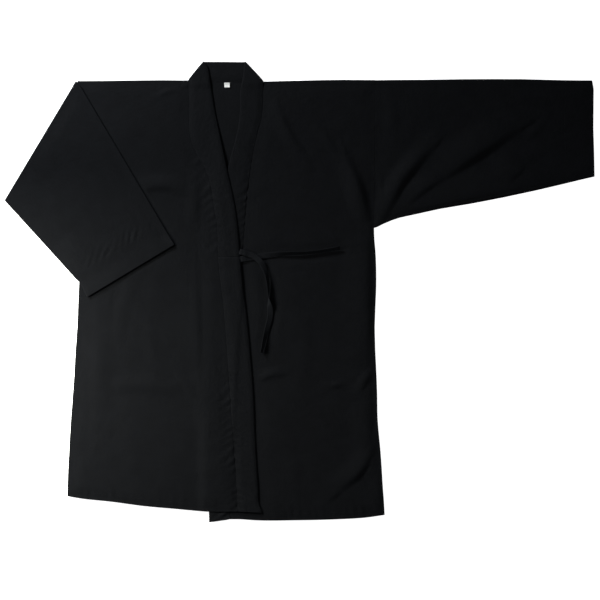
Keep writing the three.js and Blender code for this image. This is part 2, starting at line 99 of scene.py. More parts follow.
# Edges, each listed from the top of the jacket down: columns x, y.
RIGHT_EDGE = np.array([
    (-46, 45.3), (-40.4, 38), (-33.7, 5), (-23.6, -57.5), (-10.6, -121), (1, -176), (17.6, -255),
    (26.3, -334.5), (30.4, -385), (42.4, -488), (54, -619), (61.6, -776), (65.6, -837), (67.6, -870),
    (74.7, -887),
])
RIGHT_SEAM = np.array([
    (-78.4, 7), (-76.9, -39), (-72.5, -118), (-53, -161), (-38, -190), (-26, -252), (-19.7, -290),
    (-17, -358), (-5, -468), (3, -571), (11.4, -695), (19.7, -809), (23.8, -884.5),
])
LEFT_EDGE = np.array([
    (38, 44.8), (34.5, 12), (30, -10), (28.8, -54), (26, -83), (18, -120), (3, -178), (-6, -235),
    (-11, -302), (-16, -358), (-24, -470), (-31, -586), (-36, -698), (-37, -800), (-35.5, -906.5),
])
LEFT_SEAM = np.array([
    (75.8, 4.6), (74.8, -37), (73, -64), (64, -101), (54, -147), (46, -199), (40, -250), (36.5, -302),
    (31.5, -358), (22, -470), (14, -586), (9, -698), (6, -800), (7.2, -900.5),
])
LEFT_SIDE = np.array([
    (308.4, 7.7), (305.3, -298), (306, -320), (308.3, -347), (309.8, -384), (309.8, -421), (308.3, -459),
    (306.8, -505), (308, -552), (309.8, -589), (311.8, -640), (312.6, -690), (314.8, -719), (318.5, -757),
    (320.6, -785), (323.4, -831), (326.1, -868), (327.3, -891.5),
])
RIGHT_SIDE = np.array([
    (-308.4, 5.8), (-303, -292), (-304.5, -400), (-307, -460), (-308.4, -497), (-312, -550), (-316, -620),
    (-319.5, -665), (-322.5, -705), (-325.5, -760), (-328, -810), (-329.3, -852.5),
])
# Hems, shoulders and seams that run across, listed from the wearer's right to left: columns x, y.
RIGHT_HEM = np.array([
    (-329.3, -852.5), (-304, -857), (-238, -864.2), (-172, -873), (-106, -879), (-39, -884.5), (23.8, -884.5),
])
LEFT_HEM = np.array([
    (7.2, -900.5), (27, -900.5), (60, -902.6), (143, -902.6), (226, -900.7), (292, -896.6), (327.3, -891.5),
])
BACK_HEM = np.array([
    (-328.4, -850), (-238, -861.5), (-106, -876), (20, -888), (121, -898), (226, -898), (326.4, -889),
])
RIGHT_SHOULDER = np.array([(-308.4, 5.8), (-257, 5.9), (-207, 6.9), (-132, 7.5), (-78.4, 7)])
LEFT_SHOULDER = np.array([(75.8, 4.6), (116, 5.7), (190, 7.5), (240, 8.2), (308.4, 7.7)])
NECK_SEAM_LINE = np.array([(-78.4, 7), (-40, 3.2), (40, 3.2), (75.8, 4.6)])
BACK_TOP = np.vstack([RIGHT_SHOULDER[:-1], NECK_SEAM_LINE, LEFT_SHOULDER[1:]])
RIGHT_BAND_HEM = np.array([(23.8, -884.5), (74.7, -887)])
LEFT_BAND_HEM = np.array([(-35.5, -906.5), (7.2, -900.5)])
# The left sleeve: its underarm seam and its folded top, from the body to the cuff, and its cuff from the
# underarm up.
UNDERARM = np.array([
    (305.6, -298), (313, -295.5), (321.4, -291), (342, -282.2), (358, -276.9), (391, -269.7), (441, -258.7),
    (507, -247.6), (573, -234.9), (640, -220.5), (689, -209), (739, -196.9), (761.2, -191.5),
])
SLEEVE_TOP = np.array([
    (308.7, 7.7), (350, 8.3), (414, 8.7), (489, 9.8), (551, 10.1), (613, 9.9), (662, 8.6), (700, 7.7),
    (756.5, 7),
])
CUFF = np.array([(761.2, -191.5), (760.3, -142), (758.7, -90), (759.4, -11), (756.5, 7)])

FOLD_START = np.array((-309.6, 6.0))
FOLD_END = np.array((-457.5, -241.2))
UNDERARM_BEND = np.array([(-312.0, -401.0), (-301.5, -411.0)])
FOLDED_CUFF_LOW = np.array((-286.2, -440.0))
FOLDED_CUFF_HIGH = np.array((-108.7, -333.3))
RIGHT_ARMPIT = np.array((-303.0, -292.0))

# Folds, each a soft ridge along a curve of three points that is listed so that the side turned away
# from the light is on its right. The curve is the middle of that side. Columns x0, y0, x1, y1, x2, y2,
# width of the ridge's left side, width of its right side, height.
LEFT_FRONT_FOLDS = [
    (298.7, -285, 280.5, -213, 253.6, -151, 36, 17, 5.4),
    (272, -200, 261, -167, 248, -138, 22, 18, 3.0),
    (172.8, -157, 131.4, -95, 112.8, -49.7, 24, 13, 2.4),
    (245, -147, 220, -120, 197.7, -91, 20, 12, 1.6),
    (297, -592, 298, -450, 296, -310, 62, 14, 3.2),
    (236, -844, 281, -804, 311, -746, 40, 13, 3.8),
    (322, -884, 321, -850, 317, -814, 26, 7, 1.8),
    (307, -776, 301, -720, 299, -652, 50, 14, 2.6),
    (58, -618, 90, -608, 121, -602, 20, 9, 2.1),
    (214, -629, 228, -627, 241, -625, 12, 8, 1.8),
    (279, -638, 293, -614, 304, -594, 24, 10, 2.8),
    (168, -640, 176, -520, 150, -420, 36, 30, 0.8),
    (146, -850, 152, -770, 120, -700, 30, 26, 0.7),
]
LEFT_SLEEVE_FOLDS = [
    (331, -277, 370, -203, 428, -134, 34, 17, 5.4),
    (316, -282, 326, -240, 322, -190, 10, 9, 1.4),
    (374, -256, 415, -222, 462, -193, 44, 11, 4.3),
    (446, -205, 524, -150, 605.5, -97, 64, 17, 5.5),
    (385, -266, 530, -238, 705, -202, 80, 8, 5.5),
    (568, -226, 594, -201, 626, -172, 72, 12, 5.2),
    (618, -128, 645, -100, 667.5, -72.5, 16, 12, 1.0),
    (352, -110, 352, -60, 344, -20, 22, 16, 0.9),
    (560, -60, 620, -44, 690, -38, 26, 22, 0.7),
]
RIGHT_FRONT_FOLDS = [
    (-178, -224, -130, -218, -91, -231, 32, 15, 2.6),
    (-57, -650, -76, -618, -96, -586, 22, 14, 1.4),
    (-251, -637, -168, -634, -86, -644, 26, 22, 1.1),
    (-276, -443, -274, -590, -278, -740, 26, 22, 1.3),
    (-10, -872, -15, -740, -19, -610, 46, 36, 0.8),
    (-215, -540, -204, -470, -182, -406, 24, 20, 0.9),
    (-240, -700, -244, -580, -240, -470, 26, 40, 1.6),
    (-58, -288, -58, -250, -60, -209, 24, 14, 1.8),
    (-53, -586, -56, -470, -60, -373, 54, 16, 1.8),
    (-118, -590, -140, -560, -150, -500, 24, 20, 0.9),
    (-142, -31, -126, -21, -106, -15, 9, 7, 1.0),
    (-186, -840, -180, -770, -200, -700, 30, 26, 0.7),
]
RIGHT_SLEEVE_FOLDS = [
    (-390, -250, -340, -300, -300, -350, 34, 32, 0.4),
    (-262, -190, -300, -130, -350, -90, 22, 20, 0.6),
]
# Broad unevenness of cloth that was smoothed out by hand: columns wavelength, direction in degrees,
# height, phase.
UNEVEN = [
    (310, 20, 0.55, 0.4), (230, 105, 0.45, 2.1), (170, 62, 0.32, 4.0), (118, -35, 0.22, 1.3),
    (83, 80, 0.14, 5.2), (61, 10, 0.10, 3.3),
]

# Ties: columns x, y, turn of the ribbon about its own length in degrees.
RIGHT_TIE = np.array([
    (27.5, -347, 0), (38, -349.5, 0), (57, -357, 0), (72, -370, -8), (81, -388, -30), (86, -412, -50),
    (87, -430, -62), (87.6, -441, -88), (88.6, -450, -124), (89.8, -459, -160), (90.8, -470, -180),
    (90, -484, -188), (85, -504, -196), (79, -528, -214), (72.5, -556, -236),
], dtype=float)
LEFT_TIE = np.array([
    (29.5, -362.5, 0), (46, -360.5, 0), (65, -357.2, 0), (94, -354, 14), (127, -351, 40), (160, -349.8, 46),
    (186, -347.6, 46), (212, -343.6, 44), (234, -339.5, 38),
], dtype=float)
# Points across a tie's ribbon, as shares of its width, and the share of its width that it loses by
# cupping where it stands on edge.
TIE_ACROSS = np.array([-0.5, -0.46, -0.38, -0.2, 0, 0.2, 0.38, 0.46, 0.5])
TIE_CUPPING = 0.42


# ---------------------------------------------------------------------------------------------------
# Settings
# ---------------------------------------------------------------------------------------------------

class JacketClothSettings(bpy.types.PropertyGroup):
    """The cloth's colour, weave and how finely it is modelled"""
    colour: FloatVectorProperty(
        name="Colour", description="Colour of the black cloth", subtype="COLOR", size=3,
        default=(0.00318, 0.00363, 0.00455), min=0.0, max=1.0)
    label_colour: FloatVectorProperty(
        name="Label colour", description="Colour of the blank label", subtype="COLOR", size=3,
        default=(0.9, 0.9, 0.88), min=0.0, max=1.0)
    yarn: FloatProperty(
        name="Yarn", description="Distance between two yarns of the weave",
        default=0.00055, min=0.0001, unit="LENGTH")
    roughness: FloatProperty(
        name="Roughness", description="Roughness of the cloth", default=0.72, min=0.0, max=1.0)
    sheen: FloatProperty(
        name="Sheen", description="Soft edge light of the cloth's fibres", default=0.01, min=0.0, max=1.0)
    step: FloatProperty(
        name="Mesh step", description="Distance between two points of the cloth's mesh",
        default=0.004, min=0.002, unit="LENGTH")


class JacketFoldSettings(bpy.types.PropertyGroup):
    """How deep the folds, the unevenness and the puckers are"""
    folds: FloatProperty(
        name="Folds", description="Height of the largest folds, as a share of their listed height",
        default=1.0, min=0.0, max=2.0)
    uneven: FloatProperty(
        name="Unevenness", description="Height of the broad unevenness, as a share of its listed height",
        default=1.0, min=0.0, max=3.0)
    pucker: FloatProperty(
        name="Puckers", description="Height of the puckers along stitched hems",
        default=0.00045, min=0.0, unit="LENGTH")
    lift: FloatProperty(
        name="Edge lift", description="How far the band's free edge stands off what is under it",
        default=0.0004, min=0.0, unit="LENGTH")


class JacketStitchSettings(bpy.types.PropertyGroup):
    """Sizes of the sewing"""
    pitch: FloatProperty(
        name="Pitch", description="Distance from one stitch to the next",
        default=0.0031, min=0.001, unit="LENGTH")
    length: FloatProperty(
        name="Length", description="Length of one stitch", default=0.0024, min=0.0005, unit="LENGTH")
    thread: FloatProperty(
        name="Thread", description="Thickness of the thread", default=0.00038, min=0.0001, unit="LENGTH")
    seed: IntProperty(name="Seed", description="Seed of the stitches' unevenness", default=7, min=0)


class JacketStageSettings(bpy.types.PropertyGroup):
    """The camera and the lights"""
    field: FloatProperty(
        name="Field", description="Width of the surface that the camera sees",
        default=1.242, min=0.1, unit="LENGTH")
    height: FloatProperty(
        name="Camera height", description="Height of the camera over the surface",
        default=4.0, min=0.5, unit="LENGTH")
    key_power: FloatProperty(
        name="Key light", description="Power of the main light, above the folded sleeve's shoulder",
        default=38.2, min=0.0, unit="POWER")
    wash_power: FloatProperty(
        name="Side wash", description="Power of the soft light beside the right front",
        default=27.6, min=0.0, unit="POWER")
    fill_power: FloatProperty(
        name="Side fill", description="Power of the weak light beside the left front",
        default=1.3, min=0.0, unit="POWER")
    sky: FloatProperty(
        name="Surroundings", description="Brightness of the plain surroundings", default=0.098, min=0.0)


# ---------------------------------------------------------------------------------------------------
# Shape helpers
# ---------------------------------------------------------------------------------------------------

def to_world(points):
    """Points in the jacket's millimetres as points in the frame's metres."""
    world = np.array(points, dtype=float) * MM
    world[..., 0] += NECK_X
    world[..., 1] += NECK_Y
    return world


def smoothstep(x, low, high):
    share = np.clip((x - low) / (high - low), 0.0, 1.0)
    return share * share * (3.0 - 2.0 * share)


def between(x, start, full, fading, end):
    """1 from full to fading, eased down to 0 at start and at end."""
    return smoothstep(x, start, full) * (1 - smoothstep(x, fading, end))


def lengths(points):
    """Length along a line of points, at each of them."""
    return np.concatenate([[0.0], np.cumsum(np.linalg.norm(np.diff(points[:, :2], axis=0), axis=1))])


def eased(points, step=5.0):
    """The line through the points with its corners eased, in steps of about the given length."""
    points = np.asarray(points, dtype=float)
    at = lengths(points)
    slope = np.gradient(points, at, axis=0)
    fine = np.linspace(0.0, at[-1], max(2, int(round(at[-1] / step)) + 1))
    i = np.clip(np.searchsorted(at, fine, side="right") - 1, 0, len(at) - 2)
    span = (at[i + 1] - at[i])[:, None]
    t = ((fine - at[i]) / span[:, 0])[:, None]
    return (
        (2 * t**3 - 3 * t**2 + 1) * points[i] + (t**3 - 2 * t**2 + t) * span * slope[i]
        + (3 * t**2 - 2 * t**3) * points[i + 1] + (t**3 - t**2) * span * slope[i + 1]
    )


def side_line(table):
    """A side of the body, from the hem up: straight along the armhole, eased below it."""
    return np.vstack([table[:1], eased(table[1:])])[::-1]


def along(points, places):
    """Points at the given places, each a share of a line's length."""
    at = lengths(points)
    return np.stack([np.interp(np.asarray(places) * at[-1], at, c) for c in points.T], axis=-1)


def edge_x(edge, y):
    """The x of a top-to-bottom edge at height y."""
    return np.interp(-np.asarray(y), -edge[:, 1], edge[:, 0])


def part_of(edge, high, low):
    """The part of a top-to-bottom edge between two heights."""
    inside = edge[(edge[:, 1] < high) & (edge[:, 1] > low)]
    return np.vstack([[edge_x(edge, high), high], inside, [edge_x(edge, low), low]])


RIM_STEPS = (0.5, 1.3, 2.6)   # extra grid lines this far inside an edge, where the cloth rolls over


def shares(length, step):
    """Shares from 0 to 1 for a grid's lines: even steps, and finer ones at both ends."""
    last = RIM_STEPS[-1]
    count = max(1, int(round((length - 2 * last) / step)))
    inner = np.linspace(last, length - last, count + 1)
    ends = np.array((0.0,) + RIM_STEPS[:-1])
    return np.concatenate([ends, inner, length - ends[::-1]]) / length


def grid_lines(size, step):
    """Shares across and up a piece of a rough size, for the lines of its grid."""
    return [shares(length, step) for length in size]


def patch(left, right, bottom, top, u, v):
    """A grid of points between four edges. left and right run up, bottom and top run across and take
    their ends from left and right."""
    bottom, top = np.array(bottom, dtype=float), np.array(top, dtype=float)
    bottom[0], bottom[-1], top[0], top[-1] = left[0], right[0], left[-1], right[-1]
    at_left, at_right = along(left, v)[None], along(right, v)[None]
    at_bottom, at_top = along(bottom, u)[:, None], along(top, u)[:, None]
    u, v = u[:, None, None], v[None, :, None]
    corners = (
        (1 - u) * (1 - v) * at_bottom[0, 0] + u * (1 - v) * at_bottom[-1, 0]
        + (1 - u) * v * at_top[0, 0] + u * v * at_top[-1, 0]
    )
    return (1 - u) * at_left + u * at_right + (1 - v) * at_bottom + v * at_top - corners


def with_height(plan, height):
    return np.concatenate([plan, np.broadcast_to(height, plan.shape[:-1])[..., None]], axis=-1)


def run_lengths(grid):
    """Length along each of a grid's columns of points, at each point."""
    steps = np.linalg.norm(np.diff(grid, axis=0), axis=2)
    return np.concatenate([np.zeros_like(steps[:1]), np.cumsum(steps, axis=0)])


def rim_distance(plan, sides="udlr"):
    """How far each point of a grid is from the named sides: l and r across, d and u up it."""
    across, up = run_lengths(plan), run_lengths(plan.transpose(1, 0, 2)).T
    ways = {"l": across, "r": across[-1] - across, "d": up, "u": up[:, -1:] - up}
    return np.min([ways[side] for side in sides], axis=0)


def segment_distance(x, y, a, b):
    """Signed distance from points to a segment, above 0 on its right, and the share along it."""
    way = b - a
    share = np.clip(((x - a[0]) * way[0] + (y - a[1]) * way[1]) / (way @ way), 0, 1)
    dx, dy = x - a[0] - share * way[0], y - a[1] - share * way[1]
    return np.hypot(dx, dy) * np.sign(dx * way[1] - dy * way[0]), share


FOLD_PIECES = 10              # straight pieces that stand for a fold's curve


def fold_height(table, x, y):
    """Height that a table of folds adds to flat cloth at the points x, y."""
    ridges = np.zeros_like(x)
    for x0, y0, x1, y1, x2, y2, left_width, right_width, height in table:
        curve = along(eased([(x0, y0), (x1, y1), (x2, y2)], 4.0), np.linspace(0, 1, FOLD_PIECES + 1))
        best, place = np.full_like(x, 1e9), np.zeros_like(x)
        for i in range(FOLD_PIECES):
            distance, share = segment_distance(x, y, curve[i], curve[i + 1])
            closer = np.abs(distance) < np.abs(best)
            best = np.where(closer, distance, best)
            place = np.where(closer, (i + share) / FOLD_PIECES, place)
        from_crest = best + right_width / 2
        width = np.where(from_crest > 0, right_width, left_width)
        shape = (1 - smoothstep(np.abs(from_crest), 0, width)) * (0.3 + 0.7 * np.sin(np.pi * place))
        ridges = np.maximum(ridges, height * shape)
    return ridges


def unevenness(x, y):
    """Broad, low unevenness, never below 0."""
    height = np.zeros_like(x)
    for wavelength, degrees, size, phase in UNEVEN:
        angle = math.radians(degrees)
        run = (x * math.cos(angle) + y * math.sin(angle)) * 2 * math.pi / wavelength
        cross = (y * math.cos(angle) - x * math.sin(angle)) * 2 * math.pi / (wavelength * 1.7)
        height += size * (0.5 + 0.5 * np.sin(run + phase + 0.9 * np.sin(cross + 2 * phase)))
    return height


def puckers(distance, run, reach, size, slant=0.5):
    """Small waves beside a stitched line: distance from it, and run along it."""
    wave = np.sin(run / 2.9 + slant * distance / 6 + 1.6 * np.sin(run / 23) + 0.8 * np.sin(run / 9.7))
    strength = 0.55 + 0.45 * np.sin(run / 37 + 1.1) * np.sin(run / 13.3)
    return size * wave * strength * np.exp(-np.abs(distance) / reach)


# ---------------------------------------------------------------------------------------------------
# Heights of the layers
# ---------------------------------------------------------------------------------------------------

EDGE_MARGIN = 3.0             # a layer is at full height this far outside the edge that it covers
EDGE_RAMP = 11.0              # and comes down over this distance
FRONT_RAMP = 24.0             # the right front takes this to climb on to the left band
SLACK_RAMP = 30.0             # and this much more where it lies slack

_left_edge = eased(LEFT_EDGE)
_left_seam = eased(LEFT_SEAM)
_right_edge = eased(RIGHT_EDGE)
_right_seam = eased(RIGHT_SEAM)


def over_back(x, y):
    """Underside of what lies on the back panel, and on the band's neck stretch near it."""
    up = smoothstep(y, NECK_SEAM - EDGE_MARGIN - EDGE_RAMP, NECK_SEAM - EDGE_MARGIN)
    out = smoothstep(np.abs(x), NECK_HALF + EDGE_MARGIN, NECK_HALF + EDGE_MARGIN + EDGE_RAMP)
    return ON_BACK + (ON_NECK_BAND - ON_BACK) * up * (1 - out)


def over_body(x, y):
    """Underside of the right front and its band, which also lie on the left front and its band."""
    edge = edge_x(_left_edge, y) - EDGE_MARGIN
    seam = edge_x(_left_seam, y) + EDGE_MARGIN
    slack = FRONT_RAMP + SLACK_RAMP * smoothstep(y, -740, -620)
    climb = (ON_LEFT_BAND - ON_BACK) * smoothstep(x, edge - slack, edge)
    drop = (ON_LEFT_BAND - ON_LEFT_FRONT) * smoothstep(x, seam, seam + EDGE_RAMP)
    return np.maximum(over_back(x, y), ON_BACK + climb - drop)


def under_tie(x, y):
    """Underside of the ties, which start on the left band and lie on the left front."""
    seam = edge_x(_left_seam, y) + 5
    return ON_LEFT_BAND - (ON_LEFT_BAND - ON_LEFT_FRONT) * smoothstep(x, seam, seam + EDGE_RAMP)


PANEL_ROLL = 0.2              # how far a panel rolls down at its seams
BELOW_ARMHOLE = -300.0


def seam_roll(distance, depth=PANEL_ROLL, width=2.6):
    """How far cloth rolls down where it is sewn, at a distance from the seam."""
    return -depth * np.clip(1 - distance / width, 0, 1) ** 2


# ---------------------------------------------------------------------------------------------------
# Cloth as a closed wall on a grid
# ---------------------------------------------------------------------------------------------------

def grid_normals(middle, closed):
    across = np.gradient(middle, axis=0)
    if closed:
        up = np.roll(middle, -1, axis=1) - np.roll(middle, 1, axis=1)
    else:
        up = np.gradient(middle, axis=1)
    normal = np.cross(across, up)
    return normal / np.maximum(np.linalg.norm(normal, axis=2, keepdims=True), 1e-9)


RIM_ROUND = 0.32              # how far an open edge bulges, as a share of the thickness


def cloth_wall(name, middle, thickness, grain, closed=False):
    """A closed wall around a grid of middle points, of one thickness or one for each point, as an object.
    grain is the weave's place at each point, with one column more than the grid where that is closed into
    a tube."""
    rows, columns = middle.shape[:2]
    thickness = np.broadcast_to(thickness, (rows, columns))[..., None]
    normal = grid_normals(middle, closed) * thickness / 2
    outer, inner = middle + normal, middle - normal

    here = np.arange(rows * columns).reshape(rows, columns)
    wrap = np.concatenate([here, here[:, :1]], axis=1) if closed else here
    grain_wrap = grain.reshape(rows, -1, 2)
    corner = [wrap[:-1, :-1], wrap[1:, :-1], wrap[1:, 1:], wrap[:-1, 1:]]
    corner_grain = [grain_wrap[:-1, :-1], grain_wrap[1:, :-1], grain_wrap[1:, 1:], grain_wrap[:-1, 1:]]
    faces = np.stack(corner, axis=-1).reshape(-1, 4)
    face_grain = np.stack(corner_grain, axis=-2).reshape(-1, 4, 2)
    count = rows * columns
    all_faces = [faces, faces[:, ::-1] + count]
    all_grain = [face_grain, face_grain[:, ::-1]]
    points = [outer.reshape(-1, 3), inner.reshape(-1, 3)]
    total = 2 * count

    def rim(loop, neighbour, loop_grain):
        """Closes the wall along a loop of border points, each with its neighbour inside the grid."""
        nonlocal total
        flat = middle.reshape(-1, 3)
        outward = flat[loop] - flat[neighbour]
        outward /= np.maximum(np.linalg.norm(outward, axis=1, keepdims=True), 1e-9)
        points.append(flat[loop] + outward * thickness.reshape(-1, 1)[loop] * RIM_ROUND)
        ring = np.arange(len(loop)) + total
        total += len(loop)
        following = np.roll(np.arange(len(loop)), -1)
        a, b, ra, rb = loop, loop[following], ring, ring[following]
        all_faces.append(np.stack([ra, rb, b, a], axis=-1))
        all_faces.append(np.stack([a + count, b + count, rb, ra], axis=-1))
        ga, gb = loop_grain[:-1], loop_grain[1:]
        all_grain.append(np.stack([ga, gb, gb, ga], axis=1))
        all_grain.append(np.stack([ga, gb, gb, ga], axis=1))

    if closed:
        rim(here[-1], here[-2], grain_wrap[-1])
        rim(here[0, ::-1], here[1, ::-1], grain_wrap[0, ::-1])
    else:
        ring = np.concatenate([here[:-1, 0], here[-1, :-1], here[:0:-1, -1], here[0, :0:-1]])
        near = np.clip(np.stack(np.divmod(ring, columns), axis=-1), 1, [rows - 2, columns - 2])
        ring_grain = grain_wrap.reshape(-1, 2)[np.append(ring, ring[0])]
        rim(ring, near[:, 0] * columns + near[:, 1], ring_grain)

    mesh = bpy.data.meshes.new(name)
    vertices = to_world(np.concatenate(points))
    polygons = np.concatenate(all_faces)
    mesh.from_pydata(vertices, [], polygons.tolist())
    weave = mesh.uv_layers.new(name="grain")
    weave.data.foreach_set("uv", (np.concatenate(all_grain) * MM).astype(np.float32).ravel())
    mesh.polygons.foreach_set("use_smooth", [True] * len(polygons))
    mesh.update()
    piece = bpy.data.objects.new(name, mesh)
    bpy.context.scene.collection.objects.link(piece)
    return piece


ARC = np.radians([30, 60, 90, 120, 150])


def bend(a, b, outward):
    """Half circles from the points a to the points b, out to the given directions: one column per angle."""
    centre, spoke = (a + b) / 2, (a - b) / 2
    outward = outward / np.maximum(np.linalg.norm(outward, axis=1, keepdims=True), 1e-9)
    reach = np.linalg.norm(spoke, axis=1, keepdims=True)
    return np.stack([centre + spoke * math.cos(t) + outward * reach * math.sin(t) for t in ARC], axis=1)


def flat_tube(name, first, second, thickness, grain):
    """A tube pressed flat: two layers of middle points, joined along both their sides by half circles.
    grain is the weave's place on the first layer; the second repeats it."""
    far = bend(first[:, -1], second[:, -1], (first[:, -1] - first[:, -2]) * (1, 1, 0))
    close = bend(second[:, 0], first[:, 0], (first[:, 0] - first[:, 1]) * (1, 1, 0))
    middle = np.concatenate([first, far, second[:, ::-1], close], axis=1)
    far_grain, close_grain = (np.repeat(grain[:, [side]], len(ARC), axis=1) for side in (-1, 0))
    grain = np.concatenate([grain, far_grain, grain[:, ::-1], close_grain, grain[:, :1]], axis=1)
    return cloth_wall(name, middle, thickness, grain, closed=True)


# ---------------------------------------------------------------------------------------------------
# Materials
# ---------------------------------------------------------------------------------------------------

def new_material(name):
    material = bpy.data.materials.new(name)
    material.use_nodes = True
    tree = material.node_tree
    tree.nodes.clear()
    output = tree.nodes.new("ShaderNodeOutputMaterial")
    shader = tree.nodes.new("ShaderNodeBsdfPrincipled")
    tree.links.new(shader.outputs["BSDF"], output.inputs["Surface"])
    return material, tree, shader


def math_node(tree, operation, first, second=None):
    node = tree.nodes.new("ShaderNodeMath")
    node.operation = operation
    for entry, value in zip(node.inputs, (first, second)):
        if value is None:
            continue
        if isinstance(value, (int, float)):
            entry.default_value = value
        else:
            tree.links.new(value, entry)
    return node.outputs[0]


def weave_height(tree, place, yarn):
    """Height of a plain weave: warp and weft pass over each other like a checkerboard."""
    split = tree.nodes.new("ShaderNodeSeparateXYZ")
    tree.links.new(place, split.inputs[0])
    warp = math_node(tree, "SINE", math_node(tree, "MULTIPLY", split.outputs["X"], math.pi / yarn))
    weft = math_node(tree, "SINE", math_node(tree, "MULTIPLY", split.outputs["Y"], math.pi / yarn))
    over = math_node(tree, "GREATER_THAN", math_node(tree, "MULTIPLY", warp, weft), 0.0)
    under = math_node(tree, "SUBTRACT", 1.0, over)
    return math_node(
        tree, "ADD",
        math_node(tree, "MULTIPLY", math_node(tree, "ABSOLUTE", warp), over),
        math_node(tree, "MULTIPLY", math_node(tree, "ABSOLUTE", weft), under))


def noise(tree, place, scale, detail=3.0, roughness=0.5):
    node = tree.nodes.new("ShaderNodeTexNoise")
    node.inputs["Scale"].default_value = scale
    node.inputs["Detail"].default_value = detail
    node.inputs["Roughness"].default_value = roughness
    tree.links.new(place, node.inputs["Vector"])
    return node.outputs["Fac"]


def bump(tree, height, distance, strength=1.0, normal=None):
    node = tree.nodes.new("ShaderNodeBump")
    node.inputs["Strength"].default_value = strength
    node.inputs["Distance"].default_value = distance
    tree.links.new(height, node.inputs["Height"])
    if normal is not None:
        tree.links.new(normal, node.inputs["Normal"])
    return node.outputs["Normal"]


def colour_range(tree, factor, dark, light):
    ramp = tree.nodes.new("ShaderNodeValToRGB")
    ramp.color_ramp.elements[0].color = (*dark, 1.0)
    ramp.color_ramp.elements[1].color = (*light, 1.0)
    ramp.color_ramp.elements[0].position = 0.25
    ramp.color_ramp.elements[1].position = 0.75
    tree.links.new(factor, ramp.inputs["Fac"])
    return ramp.outputs["Color"]


def grain_place(tree):
    node = tree.nodes.new("ShaderNodeUVMap")
    node.uv_map = "grain"
    return node.outputs["UV"]


def woven_cloth(name, colour, cloth, crumple):
    """Near-black plain weave: yarns, slubs and a light crumple in its bump, uneven dye in its colour."""
    material, tree, shader = new_material(name)
    place = grain_place(tree)
    yarns = weave_height(tree, place, cloth.yarn)
    dye = noise(tree, place, 34.0, detail=4.0, roughness=0.6)
    slubs = noise(tree, place, 900.0, detail=2.0)
    most, rest = math_node(tree, "MULTIPLY", dye, 0.75), math_node(tree, "MULTIPLY", slubs, 0.25)
    worn = math_node(tree, "ADD", most, rest)
    shade = colour_range(tree, worn, [c * 0.82 for c in colour], [c * 1.22 for c in colour])
    tree.links.new(shade, shader.inputs["Base Color"])
    normal = bump(tree, noise(tree, place, 38.0, roughness=0.55), 1.2 * crumple)
    normal = bump(tree, noise(tree, place, 150.0, roughness=0.6), 0.85 * crumple, normal=normal)
    normal = bump(tree, slubs, 0.00004, strength=0.6, normal=normal)
    normal = bump(tree, yarns, 0.00009, strength=0.8, normal=normal)
    tree.links.new(normal, shader.inputs["Normal"])
    shader.inputs["Roughness"].default_value = cloth.roughness
    shader.inputs["Specular IOR Level"].default_value = 0.06
    shader.inputs["Sheen Weight"].default_value = cloth.sheen
    shader.inputs["Sheen Roughness"].default_value = 0.5
    shader.inputs["Sheen Tint"].default_value = (0.82, 0.9, 1.0, 1.0)
    return material


def thread_material(colour):
    """Twisted sewing thread, a little brighter than the cloth."""
    material, tree, shader = new_material("sewing thread")
    coordinates = tree.nodes.new("ShaderNodeTexCoord")
    place = coordinates.outputs["Object"]
    shade = colour_range(
        tree, noise(tree, place, 700.0), [c * 0.8 for c in colour], [c * 1.5 for c in colour])
    tree.links.new(shade, shader.inputs["Base Color"])
    tree.links.new(bump(tree, noise(tree, place, 2600.0), 0.00006), shader.inputs["Normal"])
    shader.inputs["Roughness"].default_value = 0.5
    shader.inputs["Specular IOR Level"].default_value = 0.1
    return material


def label_material(cloth):
    """White satin-woven label, blank."""
    material, tree, shader = new_material("label satin")
    place = grain_place(tree)
    colour = tuple(cloth.label_colour)
    shade = colour_range(tree, noise(tree, place, 240.0), [c * 0.94 for c in colour], colour)
    tree.links.new(shade, shader.inputs["Base Color"])
    tree.links.new(bump(tree, weave_height(tree, place, 0.00035), 0.00004), shader.inputs["Normal"])
    shader.inputs["Roughness"].default_value = 0.55
    shader.inputs["Sheen Weight"].default_value = 0.1
    return material


def cloth_material(name, crumple=0.0005, gain=1.0):
    """The woven cloth's material of that name, made once."""
    cloth = bpy.context.scene.jacket_cloth
    colour = [c * gain for c in cloth.colour]
    return bpy.data.materials.get(name) or woven_cloth(name, colour, cloth, crumple)


# ---------------------------------------------------------------------------------------------------
# Pieces
# ---------------------------------------------------------------------------------------------------

PIECES = (
    "back_panel", "front_left_panel", "front_right_panel", "left_sleeve_tube", "right_sleeve_tube",
    "collar_band", "band_end_right", "band_end_left", "tie_right_strip", "tie_left_strip", "blank_label",
)


def dress(piece, node, material):
    """Gives a finished piece its material, and puts it in the frame in place of its node."""
    piece.data.materials.append(material)
    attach(piece, "root")
    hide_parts(node)


def mesh_step(context):
    """Distance between two lines of a piece's grid, in millimetres."""
    return context.scene.jacket_cloth.step / MM


def relief(plan, folds, table):
    """Height of a panel's folds and unevenness over its flat lie; its border stays down."""
    x, y = plan[..., 0], plan[..., 1]
    border = rim_distance(plan)
    height = folds.folds * fold_height(table, x, y) * (0.35 + 0.65 * smoothstep(border, 0, 9))
    return np.maximum(height + folds.uneven * unevenness(x, y) * smoothstep(border, 0, 30), 0)


def make_back(context):
    step = 2.5 * mesh_step(context)
    left = np.vstack([RIGHT_SIDE[:-1] + (GAP, 0), BACK_HEM[:1]])[::-1]
    right = np.vstack([LEFT_SIDE[:-1] - (GAP, 0), BACK_HEM[-1:]])[::-1]
    plan = patch(left, right, BACK_HEM, BACK_TOP, *grid_lines(BACK_SIZE, step))
    piece = cloth_wall("back_panel", with_height(plan, WALL / 2), WALL * SHOWN, plan)
    dress(piece, "back", cloth_material("back cloth", 0.0003))


